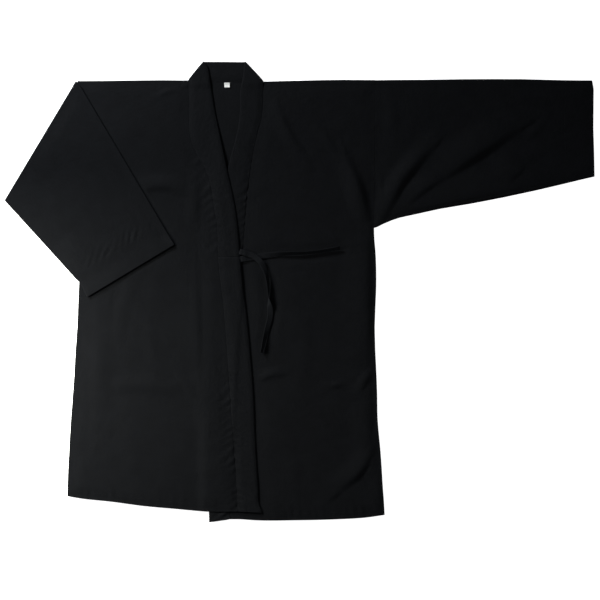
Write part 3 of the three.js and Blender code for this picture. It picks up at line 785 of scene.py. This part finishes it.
TIE_CLEARING = (9, 24)        # the cloth is flat this near a tie's middle, and folded this far from it


def tie_ground(x, y):
    """1 where the ties lie, so the cloth under them is flat, and 0 a little way off."""
    flat = np.zeros_like(x)
    for tie in (RIGHT_TIE, LEFT_TIE):
        line = eased(tie[:, :2], 12.0)
        for a, b in zip(line[:-1], line[1:]):
            from_tie = np.abs(segment_distance(x, y, a, b)[0])
            flat = np.maximum(flat, 1 - smoothstep(from_tie, *TIE_CLEARING))
    return flat


def front_gather(plan, pucker, side):
    """Puckers along a front's hem and along its side seam."""
    at_hem = puckers(rim_distance(plan, "d") - HEM + 1, plan[..., 0], reach=9, size=2.0 * pucker)
    return at_hem + puckers(rim_distance(plan, side) - 2, plan[..., 1], reach=7, size=0.8 * pucker)


def make_left_front(context):
    step, folds = mesh_step(context), context.scene.jacket_folds
    pucker = folds.pucker / MM
    seam = _left_seam[::-1] + (GAP, 0)
    side = side_line(LEFT_SIDE) - (GAP, 0)
    plan = patch(seam, side, eased(LEFT_HEM), LEFT_SHOULDER, *grid_lines(LEFT_FRONT_SIZE, step))
    x, y = plan[..., 0], plan[..., 1]
    covered = 1 - smoothstep(x - edge_x(_right_edge, y), 2, 34)
    height = relief(plan, folds, LEFT_FRONT_FOLDS) * (1 - np.maximum(covered, tie_ground(x, y)))
    gather = front_gather(plan, pucker, "r")
    gather += puckers(rim_distance(plan, "u") - 2, x + 40, reach=6, size=0.5 * pucker)
    height = np.maximum(height + (gather + 0.1) * (1 - covered), 0)
    height = height + seam_roll(rim_distance(plan, "ul"))
    height = height + seam_roll(rim_distance(plan, "r")) * (y < BELOW_ARMHOLE)
    middle = with_height(plan, ON_BACK + WALL / 2 + height)
    piece = cloth_wall("front_left_panel", middle, WALL * SHOWN, plan)
    dress(piece, "front_left", cloth_material("front cloth"))


def make_right_front(context):
    step, folds = mesh_step(context), context.scene.jacket_folds
    pucker = folds.pucker / MM
    seam = _right_seam[::-1] - (GAP, 0)
    side = side_line(RIGHT_SIDE) + (GAP, 0)
    plan = patch(side, seam, eased(RIGHT_HEM), RIGHT_SHOULDER, *grid_lines(RIGHT_FRONT_SIZE, step))
    x, y = plan[..., 0], plan[..., 1]
    covered = 1 - smoothstep(outline_distance(x, y, FOLDED_SLEEVE), 0, 10)
    height = relief(plan, folds, RIGHT_FRONT_FOLDS) * (1 - covered)
    from_seam = rim_distance(plan, "r")
    at_seam = puckers(from_seam - 3, y, reach=13, size=2.8 * pucker, slant=1.4)
    beyond = puckers(from_seam - 22, y + 0.5 * x, reach=9, size=1.6 * pucker, slant=-2.2)
    gathered = between(-y, 140, 165, 335, 360) + 0.95 * smoothstep(-y, 570, 660)
    gather = front_gather(plan, pucker, "l") + at_seam * gathered + beyond * gathered
    height = np.maximum(height + (gather + 0.1) * (1 - covered), 0)
    height = height + seam_roll(rim_distance(plan, "rul"))
    middle = with_height(plan, over_body(x, y) + WALL / 2 + height)
    piece = cloth_wall("front_right_panel", middle, WALL * SHOWN, plan)
    dress(piece, "front_right", cloth_material("front cloth"))


FIRST_LAYER = WALL / 2        # middle of a sleeve's two layers, over what it lies on
SECOND_LAYER = WALL * 1.5 + GAP


def make_left_sleeve(context):
    step, folds = mesh_step(context), context.scene.jacket_folds
    inset = WALL
    underarm, top = UNDERARM + (0, inset), SLEEVE_TOP - (0, inset)
    cuff = np.vstack([underarm[-1:], CUFF[1:-1], top[-1:]])
    armhole = np.array([underarm[0], top[0]])
    plan = patch(armhole, cuff, underarm, top, *grid_lines(LEFT_SLEEVE_SIZE, step))
    from_cuff = rim_distance(plan, "r")
    gather = puckers(from_cuff - CUFF_HEM, plan[..., 1], reach=8, size=folds.pucker / MM)
    height = np.maximum(relief(plan, folds, LEFT_SLEEVE_FOLDS) + gather + 0.1, 0)
    height = height * smoothstep(rim_distance(plan, "ud"), -6, 8) + 0.5 * (1 - smoothstep(from_cuff, 0, 30))
    above, below = with_height(plan, SECOND_LAYER + height), with_height(plan, FIRST_LAYER)
    piece = flat_tube("left_sleeve_tube", above, below, WALL * SHOWN, plan)
    dress(piece, "sleeve_left", cloth_material("sleeve cloth"))


# The ground that holds the folded sleeve up: the body and the sleeve's own hidden part. Off it the sleeve
# settles to the surface.
GROUND = np.array([
    FOLD_START, FOLD_END, RIGHT_ARMPIT, (-304.0, -620.0), (0.0, -620.0), (0.0, 6.0),
])
SETTLING = 64.0               # the sleeve takes this to settle
FOLDED_SLEEVE = np.array([FOLD_START, FOLD_END, FOLDED_CUFF_LOW, FOLDED_CUFF_HIGH])
FOLDED_LENGTH = 322.0         # of the part on top, at its middle
FOLDED_WIDTH = 285.0
FOLD_ROWS = 10                # rows of the folded sleeve's hidden part


def outline_distance(x, y, outline):
    """Distance from a closed outline, 0 inside it."""
    inside, nearest = np.zeros(x.shape, dtype=bool), np.full(x.shape, 1e9)
    for a, b in zip(outline, np.roll(outline, -1, axis=0)):
        nearest = np.minimum(nearest, np.abs(segment_distance(x, y, a, b)[0]))
        if a[1] != b[1]:
            crosses = ((a[1] > y) != (b[1] > y)) & (x < (b[0] - a[0]) * (y - a[1]) / (b[1] - a[1]) + a[0])
            inside ^= crosses
    return np.where(inside, 0, nearest)


def direction(a, b):
    """Unit vector from a to b."""
    return (b - a) / np.linalg.norm(b - a)


def make_right_sleeve(context):
    step, folds = mesh_step(context), context.scene.jacket_folds
    way = direction(FOLD_START, FOLD_END)
    outward = np.array([way[1], -way[0]])
    bend_inset = WALL

    start = FOLD_START + 3 * way - bend_inset * outward
    end = FOLD_END - bend_inset * outward
    fold, cuff = np.array([end, start]), np.array([FOLDED_CUFF_LOW, FOLDED_CUFF_HIGH])
    underarm = np.vstack([end, UNDERARM_BEND, FOLDED_CUFF_LOW])
    top = np.array([start, FOLD_START + 14 * direction(FOLD_START, FOLDED_CUFF_HIGH), FOLDED_CUFF_HIGH])
    up = shares(FOLDED_WIDTH, step)
    above = patch(fold, cuff, underarm, top, shares(FOLDED_LENGTH, step), up)
    armhole = along(np.array([RIGHT_ARMPIT - (0.6, 0), (-309.3, -3)]), up)
    below = np.stack([armhole + t * (above[0] - armhole) for t in np.linspace(0, 1, FOLD_ROWS)])

    x, y = above[..., 0], above[..., 1]
    bed = ON_LEFT_FRONT * (1 - smoothstep(outline_distance(x, y, GROUND), 0, SETTLING))
    from_cuff, across = rim_distance(above, "r"), rim_distance(above, "d")
    hem = puckers(from_cuff - CUFF_HEM, across, reach=10, size=3.8 * folds.pucker / MM, slant=-2.6)
    hem *= smoothstep(from_cuff, 34, CUFF_HEM)
    hem *= smoothstep(across, 20, 60) * (1 - 0.8 * smoothstep(across, 140, 190))
    height = np.maximum(relief(above, folds, RIGHT_SLEEVE_FOLDS) + hem + 0.1, 0)
    height = height * smoothstep(rim_distance(above, "ud"), -6, 8)
    height = height + 0.7 * (1 - smoothstep(rim_distance(above, "u"), 0, 18))
    mouth = 1 - smoothstep(from_cuff, 0, 34)

    top_layer, lower_layer = bed + SECOND_LAYER + height + 1.9 * mouth, bed + FIRST_LAYER + 0.8 * mouth
    layers = []
    for under, over in ((FIRST_LAYER, top_layer), (SECOND_LAYER, lower_layer)):
        under_layer, over_layer = with_height(below, under), with_height(above, over)
        turn = bend(under_layer[-1], over_layer[0], np.broadcast_to((*outward, 0.0), over_layer[0].shape))
        layers.append(np.concatenate([under_layer, turn.transpose(1, 0, 2), over_layer]))
    run = run_lengths(layers[0])
    grain = np.stack([run, np.broadcast_to(up * FOLDED_WIDTH, run.shape)], axis=-1)
    piece = flat_tube("right_sleeve_tube", layers[0], layers[1], WALL * SHOWN, grain)
    dress(piece, "sleeve_right", cloth_material("sleeve cloth"))


BAND_WIDTH = 44.0             # of the band's grid, and the length of each of its stretches
NECK_LENGTH = 130.0
BAND_END_LENGTH = 530.0


def seam_drop(plan, seam_side, depth):
    """How far the band's face comes down towards its seam."""
    return -depth * (1 - smoothstep(rim_distance(plan, seam_side), -14, 17))


def band_crown(plan, seam_side, cross_side, lifted):
    """How much thinner the band is than in its middle: at the panel's level at its seam, rolled at its free
    edge, more where that is lifted, and drawn in at its cross seam."""
    free_side = {"l": "r", "r": "l"}[seam_side]
    edge_roll = 1.6 if lifted else 0.4
    at_seam = seam_drop(plan, seam_side, 2.2)
    at_free_edge = -edge_roll * np.clip(1 - rim_distance(plan, free_side) / 8, 0, 1) ** 2
    return np.maximum(at_seam + at_free_edge + seam_roll(rim_distance(plan, cross_side), 0.5, 3), -1.6)


def free_edge_lift(y, from_edge, lift):
    """The right band's free edge stands off the left front, most beside the ties."""
    place = 0.35 + 0.65 * smoothstep(-y, 190, 290) * (1 - 0.6 * smoothstep(-y, 420, 560))
    return lift * place * (1 - smoothstep(from_edge, 0, 15))


def band_stretch(plan, folds, base, down, gather, lifted):
    """Middle points of a stretch of the band that lies on the base and is thinner by down."""
    x, y = plan[..., 0], plan[..., 1]
    up = gather + 0.5 * folds.uneven * unevenness(x + 200, y)
    if lifted:
        up = up + free_edge_lift(y, rim_distance(plan, "r"), folds.lift / MM)
    return with_height(plan, base(x, y) + BAND_WALL / 2 + down / 2 + np.maximum(up, 0))


def make_collar(context):
    step, folds = 0.85 * mesh_step(context), context.scene.jacket_folds
    across = shares(BAND_WIDTH, step)
    right_slant = np.array([RIGHT_SEAM[0], RIGHT_EDGE[0]])
    left_slant = np.array([LEFT_EDGE[0], LEFT_SEAM[0]])
    cut = CROSS_SEAM + GAP / 2

    seam, edge = (part_of(line, 9e9, cut)[1:] for line in (_right_seam, _right_edge))
    length = shares(-cut, step)
    right = patch(seam[::-1], edge[::-1], np.array([seam[-1], edge[-1]]), right_slant, across, length)
    seam, edge = (part_of(line, 9e9, cut)[1:] for line in (_left_seam, _left_edge))
    left = patch(edge[::-1], seam[::-1], np.array([edge[-1], seam[-1]]), left_slant, across, length)
    top = np.linspace(RIGHT_EDGE[0], LEFT_EDGE[0], 9)
    neck = patch(right_slant, left_slant[::-1], NECK_SEAM_LINE, top, shares(NECK_LENGTH, step), across)

    def strip(plan, base, seam_side, lifted):
        """A front stretch's middle points and thinning, as rows that run up it."""
        y = plan[..., 1]
        down = band_crown(plan, seam_side, "d", lifted)
        size = 2.4 * folds.pucker / MM
        gather = puckers(rim_distance(plan, seam_side) - 3, y, reach=9, size=size, slant=1.2)
        gather = gather * smoothstep(-y, 120, 190)
        return band_stretch(plan, folds, base, down, gather, lifted).transpose(1, 0, 2), down.T

    right, right_down = strip(right, over_body, "l", True)
    left, left_down = (rows[::-1, ::-1] for rows in strip(left, over_back, "r", False))
    neck_down = np.maximum(seam_drop(neck, "d", 1.9), -1.0)
    neck = with_height(neck, BAND_WALL / 2 + neck_down / 2)
    over_right = bend(right[-1], neck[0], (right[-1] - right[-3]) * (1, 1, 0)).transpose(1, 0, 2)
    over_left = bend(neck[-1], left[0], (left[0] - left[2]) * (1, 1, 0)).transpose(1, 0, 2)
    middle = np.concatenate([right, over_right, neck, over_left, left])
    share = np.linspace(0.1, 0.9, len(ARC))[:, None]
    down = np.concatenate([
        right_down, (1 - share) * right_down[-1] + share * neck_down[0], neck_down,
        (1 - share) * neck_down[-1] + share * left_down[0], left_down,
    ])

    steps = np.linalg.norm(np.diff(middle, axis=0), axis=2).mean(axis=1)
    run = np.concatenate([[0], np.cumsum(steps)])
    grain = np.stack(np.broadcast_arrays(across[None] * BAND_WIDTH, run[:, None]), axis=-1)
    piece = cloth_wall("collar_band", middle, BAND_WALL * SHOWN + down, grain)
    dress(piece, "collar", cloth_material("band cloth", 0.0007))


def make_band_end(context, name, node, lines, hem, base, seam_side, lifted):
    step, folds = 0.85 * mesh_step(context), context.scene.jacket_folds
    left, right = (part_of(line, CROSS_SEAM - GAP / 2, line[-1, 1])[::-1] for line in lines)
    cross_seam = np.array([left[-1], right[-1]])
    plan = patch(left, right, hem, cross_seam, *grid_lines((BAND_WIDTH, BAND_END_LENGTH), step))
    y, from_seam, pucker = plan[..., 1], rim_distance(plan, seam_side), folds.pucker / MM
    gather = puckers(from_seam - 3, y, reach=8, size=0.8 * pucker)
    low_gather = puckers(from_seam - 9, y, reach=14, size=2.5 * pucker, slant=1.7)
    gather += low_gather * smoothstep(-y, 520, 620)
    down = band_crown(plan, seam_side, "u", lifted)
    middle = band_stretch(plan, folds, base, down, gather, lifted)
    piece = cloth_wall(name, middle, BAND_WALL * SHOWN + down, plan)
    dress(piece, node, cloth_material("band cloth", 0.0007))


def make_band_ends(context):
    make_band_end(context, "band_end_right", "collar_end_right", (_right_seam, _right_edge),
                  RIGHT_BAND_HEM, over_body, "l", True)
    make_band_end(context, "band_end_left", "collar_end_left", (_left_edge, _left_seam),
                  LEFT_BAND_HEM, over_back, "r", False)


def tie_wave(run):
    """A tie's slow rise and fall along its length, from 0 to 1."""
    return 0.5 + 0.5 * np.sin(run / 17.0)


def right_tie_rise(line, run):
    """The right tie passes over the left one near its root and bows up where it turns down."""
    under = eased(LEFT_TIE[:, :2], 8.0)
    ways = [segment_distance(line[:, 0], line[:, 1], a, b)[0] for a, b in zip(under[:-1], under[1:])]
    crossing = (TIE_WALL + GAP) * (1 - smoothstep(np.min(np.abs(ways), axis=0), 11, 26))
    bow = 1.4 * between(run, 20, 60, 80, 120)
    return crossing + 0.5 * tie_wave(run) + bow


def left_tie_rise(line, run):
    return np.full(len(line), 0.15) + 0.8 * smoothstep(run, 50, 110) * tie_wave(run + 20)


def make_tie(name, node, table, rise_over_ground):
    """A narrow doubled strip: a ribbon that follows its line, turned about its own length where it twists."""
    line = eased(table, 2.5)
    run, turn = lengths(line), np.radians(line[:, 2])
    way = np.gradient(line[:, :2], axis=0)
    way /= np.linalg.norm(way, axis=1, keepdims=True)
    aside = np.stack([-way[:, 1], way[:, 0]], axis=1)
    width = TIE_WIDTH * (1 - TIE_CUPPING * np.sin(turn) ** 2)
    offsets = width[:, None] * TIE_ACROSS
    plan = line[:, None, :2] + aside[:, None] * (offsets * np.cos(turn)[:, None])[..., None]
    x, y = plan[..., 0], plan[..., 1]
    ground = np.maximum(under_tie(x, y), under_tie(line[:, :1], line[:, 1:2]))
    rise = rise_over_ground(line, run) + np.abs(np.sin(turn)) * width / 2
    middle = with_height(plan, ground + TIE_WALL / 2 + rise[:, None] + offsets * np.sin(turn)[:, None])
    grain = np.stack(np.broadcast_arrays(offsets, run[:, None]), axis=-1)
    piece = cloth_wall(name, middle[::-1], TIE_WALL * SHOWN, grain[::-1])
    dress(piece, node, cloth_material("tie cloth", 0.0004, 1.25))


def make_ties():
    make_tie("tie_right_strip", "tie_right", RIGHT_TIE, right_tie_rise)
    make_tie("tie_left_strip", "tie_left", LEFT_TIE, left_tie_rise)


def make_label(context):
    width, height = LABEL_SIZE
    across, up = np.array([width / 2, 0]), np.array([0, height / 2])
    left = np.array([LABEL_CENTRE - across - up, LABEL_CENTRE - across + up])
    right = left + 2 * across
    bottom, top = np.array([left[0], right[0]]), np.array([left[1], right[1]])
    plan = patch(left, right, bottom, top, shares(width, 1.0), shares(height, 1.0))
    from_middle_x = (plan[..., 0] - LABEL_CENTRE[0]) / width * 2
    from_middle_y = (plan[..., 1] - LABEL_CENTRE[1]) / height * 2
    rise = ON_BACK + (ON_NECK_BAND - ON_BACK) * smoothstep(plan[..., 1], -3, NECK_SEAM - 1)
    curl = 0.5 * np.clip(from_middle_x, 0, 1) ** 2 * np.clip(0.6 - from_middle_y, 0, 1)
    middle = with_height(plan, rise + LABEL_WALL / 2 + 0.05 + curl)
    piece = cloth_wall("blank_label", middle, LABEL_WALL, plan)
    dress(piece, "label", label_material(context.scene.jacket_cloth))


# ---------------------------------------------------------------------------------------------------
# Sewing
# ---------------------------------------------------------------------------------------------------

def beside(line, offset):
    """The line moved to its right by the offset, or to its left where that is below 0."""
    line = eased(line, 6.0)
    way = np.gradient(line, axis=0)
    way /= np.linalg.norm(way, axis=1, keepdims=True)
    return line + offset * np.stack([way[:, 1], -way[:, 0]], axis=1)


def across_cuff(depth):
    """A line across the folded sleeve, that far in from its cuff."""
    back = direction(FOLDED_CUFF_HIGH + FOLDED_CUFF_LOW, FOLD_START + FOLD_END) * depth
    low, high = FOLDED_CUFF_LOW + back, FOLDED_CUFF_HIGH + back
    end = direction(low, high) * STITCH_END
    return np.array([low + end, high - end])


def seam_lines():
    """Lines of stitches by the piece that they are sewn on: they show only where it is on top."""
    folded_edge = np.array([FOLDED_CUFF_HIGH, FOLD_START + (3, -4)])
    over_cross_seam = CROSS_SEAM + EDGE_STITCH
    return [
        ("collar_band", beside(part_of(RIGHT_EDGE, 40, -354), EDGE_STITCH)),
        ("collar_band", beside(part_of(RIGHT_SEAM, -4, -354), -SEAM_STITCH)),
        ("collar_band", beside(part_of(LEFT_EDGE, 38, -354), -EDGE_STITCH)),
        ("collar_band", beside(part_of(LEFT_SEAM, -6, -354), SEAM_STITCH)),
        ("collar_band", np.array([(-34, 7.6), (30, 7.6)])),
        ("collar_band", beside(np.array([(-15, over_cross_seam), (26, over_cross_seam)]), 0)),
        ("band_end_right", beside(part_of(RIGHT_EDGE, -361, -880), EDGE_STITCH)),
        ("band_end_right", beside(part_of(RIGHT_SEAM, -361, -878), -SEAM_STITCH)),
        ("band_end_right", beside(RIGHT_BAND_HEM, -END_STITCH)),
        ("band_end_left", beside(part_of(LEFT_EDGE, -361, -896), -EDGE_STITCH)),
        ("front_right_panel", beside(RIGHT_HEM, -HEM)),
        ("front_left_panel", beside(LEFT_HEM, -HEM)),
        ("front_right_panel", beside(part_of(RIGHT_SIDE, -292, -842), -SIDE_STITCH)),
        ("front_left_panel", beside(part_of(LEFT_SIDE, -296, -880), SIDE_STITCH)),
        ("left_sleeve_tube", beside(UNDERARM[2:-1], -EDGE_STITCH)),
        ("left_sleeve_tube", beside(CUFF[1:-1], -END_STITCH)),
        ("left_sleeve_tube", beside(CUFF[1:-1], -CUFF_HEM)),
        ("right_sleeve_tube", across_cuff(END_STITCH)),
        ("right_sleeve_tube", across_cuff(CUFF_HEM)),
        ("right_sleeve_tube", beside(folded_edge, SEAM_STITCH)),
        ("tie_right_strip", beside(RIGHT_TIE[:6, :2], TIE_STITCH)),
        ("tie_right_strip", beside(RIGHT_TIE[11:, :2], TIE_STITCH)),
        ("tie_left_strip", beside(LEFT_TIE[:, :2], TIE_STITCH)),
        ("blank_label", np.array([(-3, 1.2), (5.6, 1.2)])),
    ]


STITCH_LINE_STEP = 2.0        # distance between two points of a line of stitches
COVERED = 0.0002              # in metres: what lies this much higher than a line of stitches covers it


def fine_line(line):
    """A line of stitches in even steps: eased where it has corners, straight between two points."""
    if len(line) > 2:
        return eased(line, STITCH_LINE_STEP)
    return along(line, np.linspace(0, 1, 1 + int(lengths(line)[-1] / STITCH_LINE_STEP)))


def drop_onto_cloth(lines):
    """The lines laid on the cloth from above. A stretch that another piece covers is left out."""
    graph = bpy.context.evaluated_depsgraph_get()
    trees = {name: BVHTree.FromObject(bpy.data.objects[name], graph) for name in PIECES}
    down = Vector((0, 0, -1))
    points, edges = [], []
    for name, line in lines:
        before = None
        for x, y in to_world(fine_line(line)):
            hits = {key: tree.ray_cast(Vector((x, y, 1)), down)[0] for key, tree in trees.items()}
            heights = [hit.z for hit in hits.values() if hit]
            if not hits[name] or max(heights) > hits[name].z + COVERED:
                before = None
                continue
            points.append((x, y, hits[name].z))
            if before is not None:
                edges.append((before, len(points) - 1))
            before = len(points) - 1
    if not edges:
        raise RuntimeError("no seam line lies on the cloth")
    return points, edges


def socket(sockets, name):
    return next(s for s in sockets if s.name == name and s.enabled)


def stitch_tree(material):
    """Node group that lays stitches along the object's lines."""
    tree = bpy.data.node_groups.new("Stitches", "GeometryNodeTree")
    for name, kind, side in (
        ("Geometry", "NodeSocketGeometry", "INPUT"), ("Pitch", "NodeSocketFloat", "INPUT"),
        ("Length", "NodeSocketFloat", "INPUT"), ("Thread", "NodeSocketFloat", "INPUT"),
        ("Seed", "NodeSocketInt", "INPUT"), ("Geometry", "NodeSocketGeometry", "OUTPUT"),
    ):
        tree.interface.new_socket(name, in_out=side, socket_type=kind)

    def node(kind, **settings):
        made = tree.nodes.new(kind)
        for key, value in settings.items():
            setattr(made, key, value)
        return made

    def link(source, source_name, target, target_name):
        tree.links.new(socket(source.outputs, source_name), socket(target.inputs, target_name))

    inputs, outputs = node("NodeGroupInput"), node("NodeGroupOutput")
    curve = node("GeometryNodeMeshToCurve")
    resample = node("GeometryNodeResampleCurve", mode="LENGTH")
    stitch = node("GeometryNodeMeshIcoSphere")
    socket(stitch.inputs, "Radius").default_value = 0.5
    tangent = node("GeometryNodeInputTangent")
    align = node("FunctionNodeAlignRotationToVector", axis="X")
    uneven = node("FunctionNodeRandomValue", data_type="FLOAT")
    socket(uneven.inputs, "Min").default_value = 0.85
    socket(uneven.inputs, "Max").default_value = 1.12
    size = node("ShaderNodeCombineXYZ")
    length = node("ShaderNodeMath", operation="MULTIPLY")
    place = node("GeometryNodeInstanceOnPoints")
    realize = node("GeometryNodeRealizeInstances")
    smooth = node("GeometryNodeSetShadeSmooth")
    paint = node("GeometryNodeSetMaterial")
    socket(paint.inputs, "Material").default_value = material

    link(inputs, "Geometry", curve, "Mesh")
    link(curve, "Curve", resample, "Curve")
    link(inputs, "Pitch", resample, "Length")
    link(resample, "Curve", place, "Points")
    link(stitch, "Mesh", place, "Instance")
    link(tangent, "Tangent", align, "Vector")
    link(align, "Rotation", place, "Rotation")
    link(inputs, "Seed", uneven, "Seed")
    tree.links.new(socket(inputs.outputs, "Length"), length.inputs[0])
    tree.links.new(socket(uneven.outputs, "Value"), length.inputs[1])
    tree.links.new(length.outputs[0], size.inputs[0])
    for axis in (1, 2):
        tree.links.new(socket(inputs.outputs, "Thread"), size.inputs[axis])
    tree.links.new(size.outputs[0], socket(place.inputs, "Scale"))
    link(place, "Instances", realize, "Geometry")
    link(realize, "Geometry", smooth, "Geometry")
    link(smooth, "Geometry", paint, "Geometry")
    link(paint, "Geometry", outputs, "Geometry")
    return tree


def make_stitches(context):
    settings = context.scene.jacket_stitches
    points, edges = drop_onto_cloth(seam_lines())
    lines = bpy.data.meshes.new("seam_lines")
    lines.from_pydata(points, edges, [])
    draft = bpy.data.objects.new("seam_lines", lines)
    context.scene.collection.objects.link(draft)
    material = thread_material([c * 1.15 for c in context.scene.jacket_cloth.colour])
    modifier = draft.modifiers.new("Stitches", "NODES")
    modifier.node_group = stitch_tree(material)
    values = {
        "Pitch": settings.pitch, "Length": settings.length, "Thread": settings.thread, "Seed": settings.seed}
    for item in modifier.node_group.interface.items_tree:
        if item.in_out == "INPUT" and item.name in values:
            modifier[item.identifier] = values[item.name]
    graph = context.evaluated_depsgraph_get()
    mesh = bpy.data.meshes.new_from_object(draft.evaluated_get(graph), depsgraph=graph)
    mesh.name = "stitches"
    bpy.data.objects.remove(draft)
    bpy.data.meshes.remove(lines)
    if len(mesh.polygons) < 1000:
        raise RuntimeError("the stitches came out empty")
    piece = bpy.data.objects.new("stitches", mesh)
    context.scene.collection.objects.link(piece)
    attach(piece, "root")


# ---------------------------------------------------------------------------------------------------
# Stage
# ---------------------------------------------------------------------------------------------------

VIEW_CENTRE = (152.15, -447.1)
FLOOR_HALF = 20.0             # in metres, as all of the stage is but VIEW_CENTRE
FLOOR_LEVEL = -0.0003
# Lights by name: place, the point that each is turned to, width and height of its face, colour.
LIGHTS = {
    "key": ((-1.13, 1.13, 0.58), (-0.2, -0.6, 0), (0.4, 0.25), (0.97, 0.99, 1)),
    "wash": ((-1.0, 0.04, 0.4), (-0.9, -0.9, 0), (0.5, 0.25), (1, 0.98, 0.9)),
    "fill": ((0.8, -0.3, 0.5), (0.2, -0.3, 0), (0.5, 0.5), (0.98, 0.99, 1)),
}


def area_light(name, power):
    place, target, size, colour = LIGHTS[name]
    data = bpy.data.lights.new(name, "AREA")
    data.shape = "RECTANGLE"
    data.size, data.size_y = size
    data.energy = power
    data.color = colour
    light = bpy.data.objects.new(name, data)
    bpy.context.scene.collection.objects.link(light)
    light.location = place
    light.rotation_euler = (Vector(target) - Vector(place)).to_track_quat("-Z", "Y").to_euler()


def white_floor():
    """A white surface under the jacket, which also glows, so that it stays white where light is weak."""
    material, tree, shader = new_material("white paper")
    coordinates = tree.nodes.new("ShaderNodeTexCoord")
    grain = noise(tree, coordinates.outputs["Object"], 60.0, detail=4.0)
    shade = colour_range(tree, grain, (0.93, 0.93, 0.93), (0.96, 0.96, 0.96))
    tree.links.new(shade, shader.inputs["Base Color"])
    shader.inputs["Roughness"].default_value = 0.9
    shader.inputs["Specular IOR Level"].default_value = 0.1
    shader.inputs["Emission Color"].default_value = (1, 1, 1, 1)
    shader.inputs["Emission Strength"].default_value = 0.95
    mesh = bpy.data.meshes.new("floor")
    corners = [(x * FLOOR_HALF, y * FLOOR_HALF, 0) for x, y in ((-1, -1), (1, -1), (1, 1), (-1, 1))]
    mesh.from_pydata(corners, [], [(0, 1, 2, 3)])
    mesh.materials.append(material)
    floor = bpy.data.objects.new("floor", mesh)
    floor.location.z = FLOOR_LEVEL
    bpy.context.scene.collection.objects.link(floor)


def make_stage(context):
    scene, stage = context.scene, context.scene.jacket_stage
    white_floor()
    world = bpy.data.worlds.new("surroundings")
    world.use_nodes = True
    background = next(n for n in world.node_tree.nodes if n.type == "BACKGROUND")
    background.inputs["Color"].default_value = (0.96, 0.98, 1.0, 1.0)
    background.inputs["Strength"].default_value = stage.sky
    scene.world = world
    for name in LIGHTS:
        area_light(name, getattr(stage, name + "_power"))
    data = bpy.data.cameras.new("camera")
    data.sensor_width = 36.0      # in millimetres
    data.lens = data.sensor_width * stage.height / stage.field
    camera = bpy.data.objects.new("camera", data)
    camera.location = (*to_world(VIEW_CENTRE), stage.height)
    scene.collection.objects.link(camera)
    scene.camera = camera
    scene.view_settings.view_transform = "Standard"


# ---------------------------------------------------------------------------------------------------
# Operators, panel and start
# ---------------------------------------------------------------------------------------------------

class JACKET_OT_back(bpy.types.Operator):
    """Make the back panel, flat on the surface"""
    bl_idname = "jacket.back"
    bl_label = "Make back"

    def execute(self, context):
        make_back(context)
        return {"FINISHED"}


class JACKET_OT_fronts(bpy.types.Operator):
    """Make both front panels with their folds"""
    bl_idname = "jacket.fronts"
    bl_label = "Make fronts"

    def execute(self, context):
        make_left_front(context)
        make_right_front(context)
        return {"FINISHED"}


class JACKET_OT_left_sleeve(bpy.types.Operator):
    """Make the outstretched sleeve"""
    bl_idname = "jacket.left_sleeve"
    bl_label = "Make outstretched sleeve"

    def execute(self, context):
        make_left_sleeve(context)
        return {"FINISHED"}


class JACKET_OT_right_sleeve(bpy.types.Operator):
    """Make the sleeve that is folded over the front"""
    bl_idname = "jacket.right_sleeve"
    bl_label = "Make folded sleeve"

    def execute(self, context):
        make_right_sleeve(context)
        return {"FINISHED"}


class JACKET_OT_collar(bpy.types.Operator):
    """Make the collar band and its two lower lengths"""
    bl_idname = "jacket.collar"
    bl_label = "Make collar band"

    def execute(self, context):
        make_collar(context)
        make_band_ends(context)
        return {"FINISHED"}


class JACKET_OT_ties(bpy.types.Operator):
    """Make the two ties at the front edge"""
    bl_idname = "jacket.ties"
    bl_label = "Make ties"

    def execute(self, context):
        make_ties()
        return {"FINISHED"}


class JACKET_OT_label(bpy.types.Operator):
    """Make the blank label at the neck"""
    bl_idname = "jacket.label"
    bl_label = "Make label"

    def execute(self, context):
        make_label(context)
        return {"FINISHED"}


class JACKET_OT_stitches(bpy.types.Operator):
    """Sew the stitches along the seams, after all the cloth is made"""
    bl_idname = "jacket.stitches"
    bl_label = "Make stitches"

    def execute(self, context):
        make_stitches(context)
        return {"FINISHED"}


class JACKET_OT_stage(bpy.types.Operator):
    """Make the white surface, the lights and the camera"""
    bl_idname = "jacket.stage"
    bl_label = "Make stage"

    def execute(self, context):
        make_stage(context)
        return {"FINISHED"}


STEPS = (
    JACKET_OT_stage, JACKET_OT_back, JACKET_OT_fronts, JACKET_OT_left_sleeve, JACKET_OT_right_sleeve,
    JACKET_OT_collar, JACKET_OT_ties, JACKET_OT_label, JACKET_OT_stitches,
)
SETTINGS = (
    ("jacket_cloth", JacketClothSettings), ("jacket_folds", JacketFoldSettings),
    ("jacket_stitches", JacketStitchSettings), ("jacket_stage", JacketStageSettings),
)


class JACKET_PT_panel(bpy.types.Panel):
    """Settings of the jacket and the steps that make it"""
    bl_idname = "JACKET_PT_panel"
    bl_label = "Practice jacket"
    bl_space_type = "VIEW_3D"
    bl_region_type = "UI"
    bl_category = "Jacket"

    def draw(self, context):
        for name, group in SETTINGS:
            box = self.layout.box()
            for prop in group.__annotations__:
                box.prop(getattr(context.scene, name), prop)
        for step in STEPS:
            self.layout.operator(step.bl_idname)


CLASSES = tuple(group for _, group in SETTINGS) + STEPS + (JACKET_PT_panel,)


def register():
    for cls in CLASSES:
        bpy.utils.register_class(cls)
    for name, group in SETTINGS:
        setattr(bpy.types.Scene, name, PointerProperty(type=group))


def unregister():
    for name, _ in SETTINGS:
        delattr(bpy.types.Scene, name)
    for cls in reversed(CLASSES):
        bpy.utils.unregister_class(cls)


def main():
    register()
    for step in STEPS:
        group, name = step.bl_idname.split(".")
        getattr(getattr(bpy.ops, group), name)()


if __name__ == "__main__":
    main()
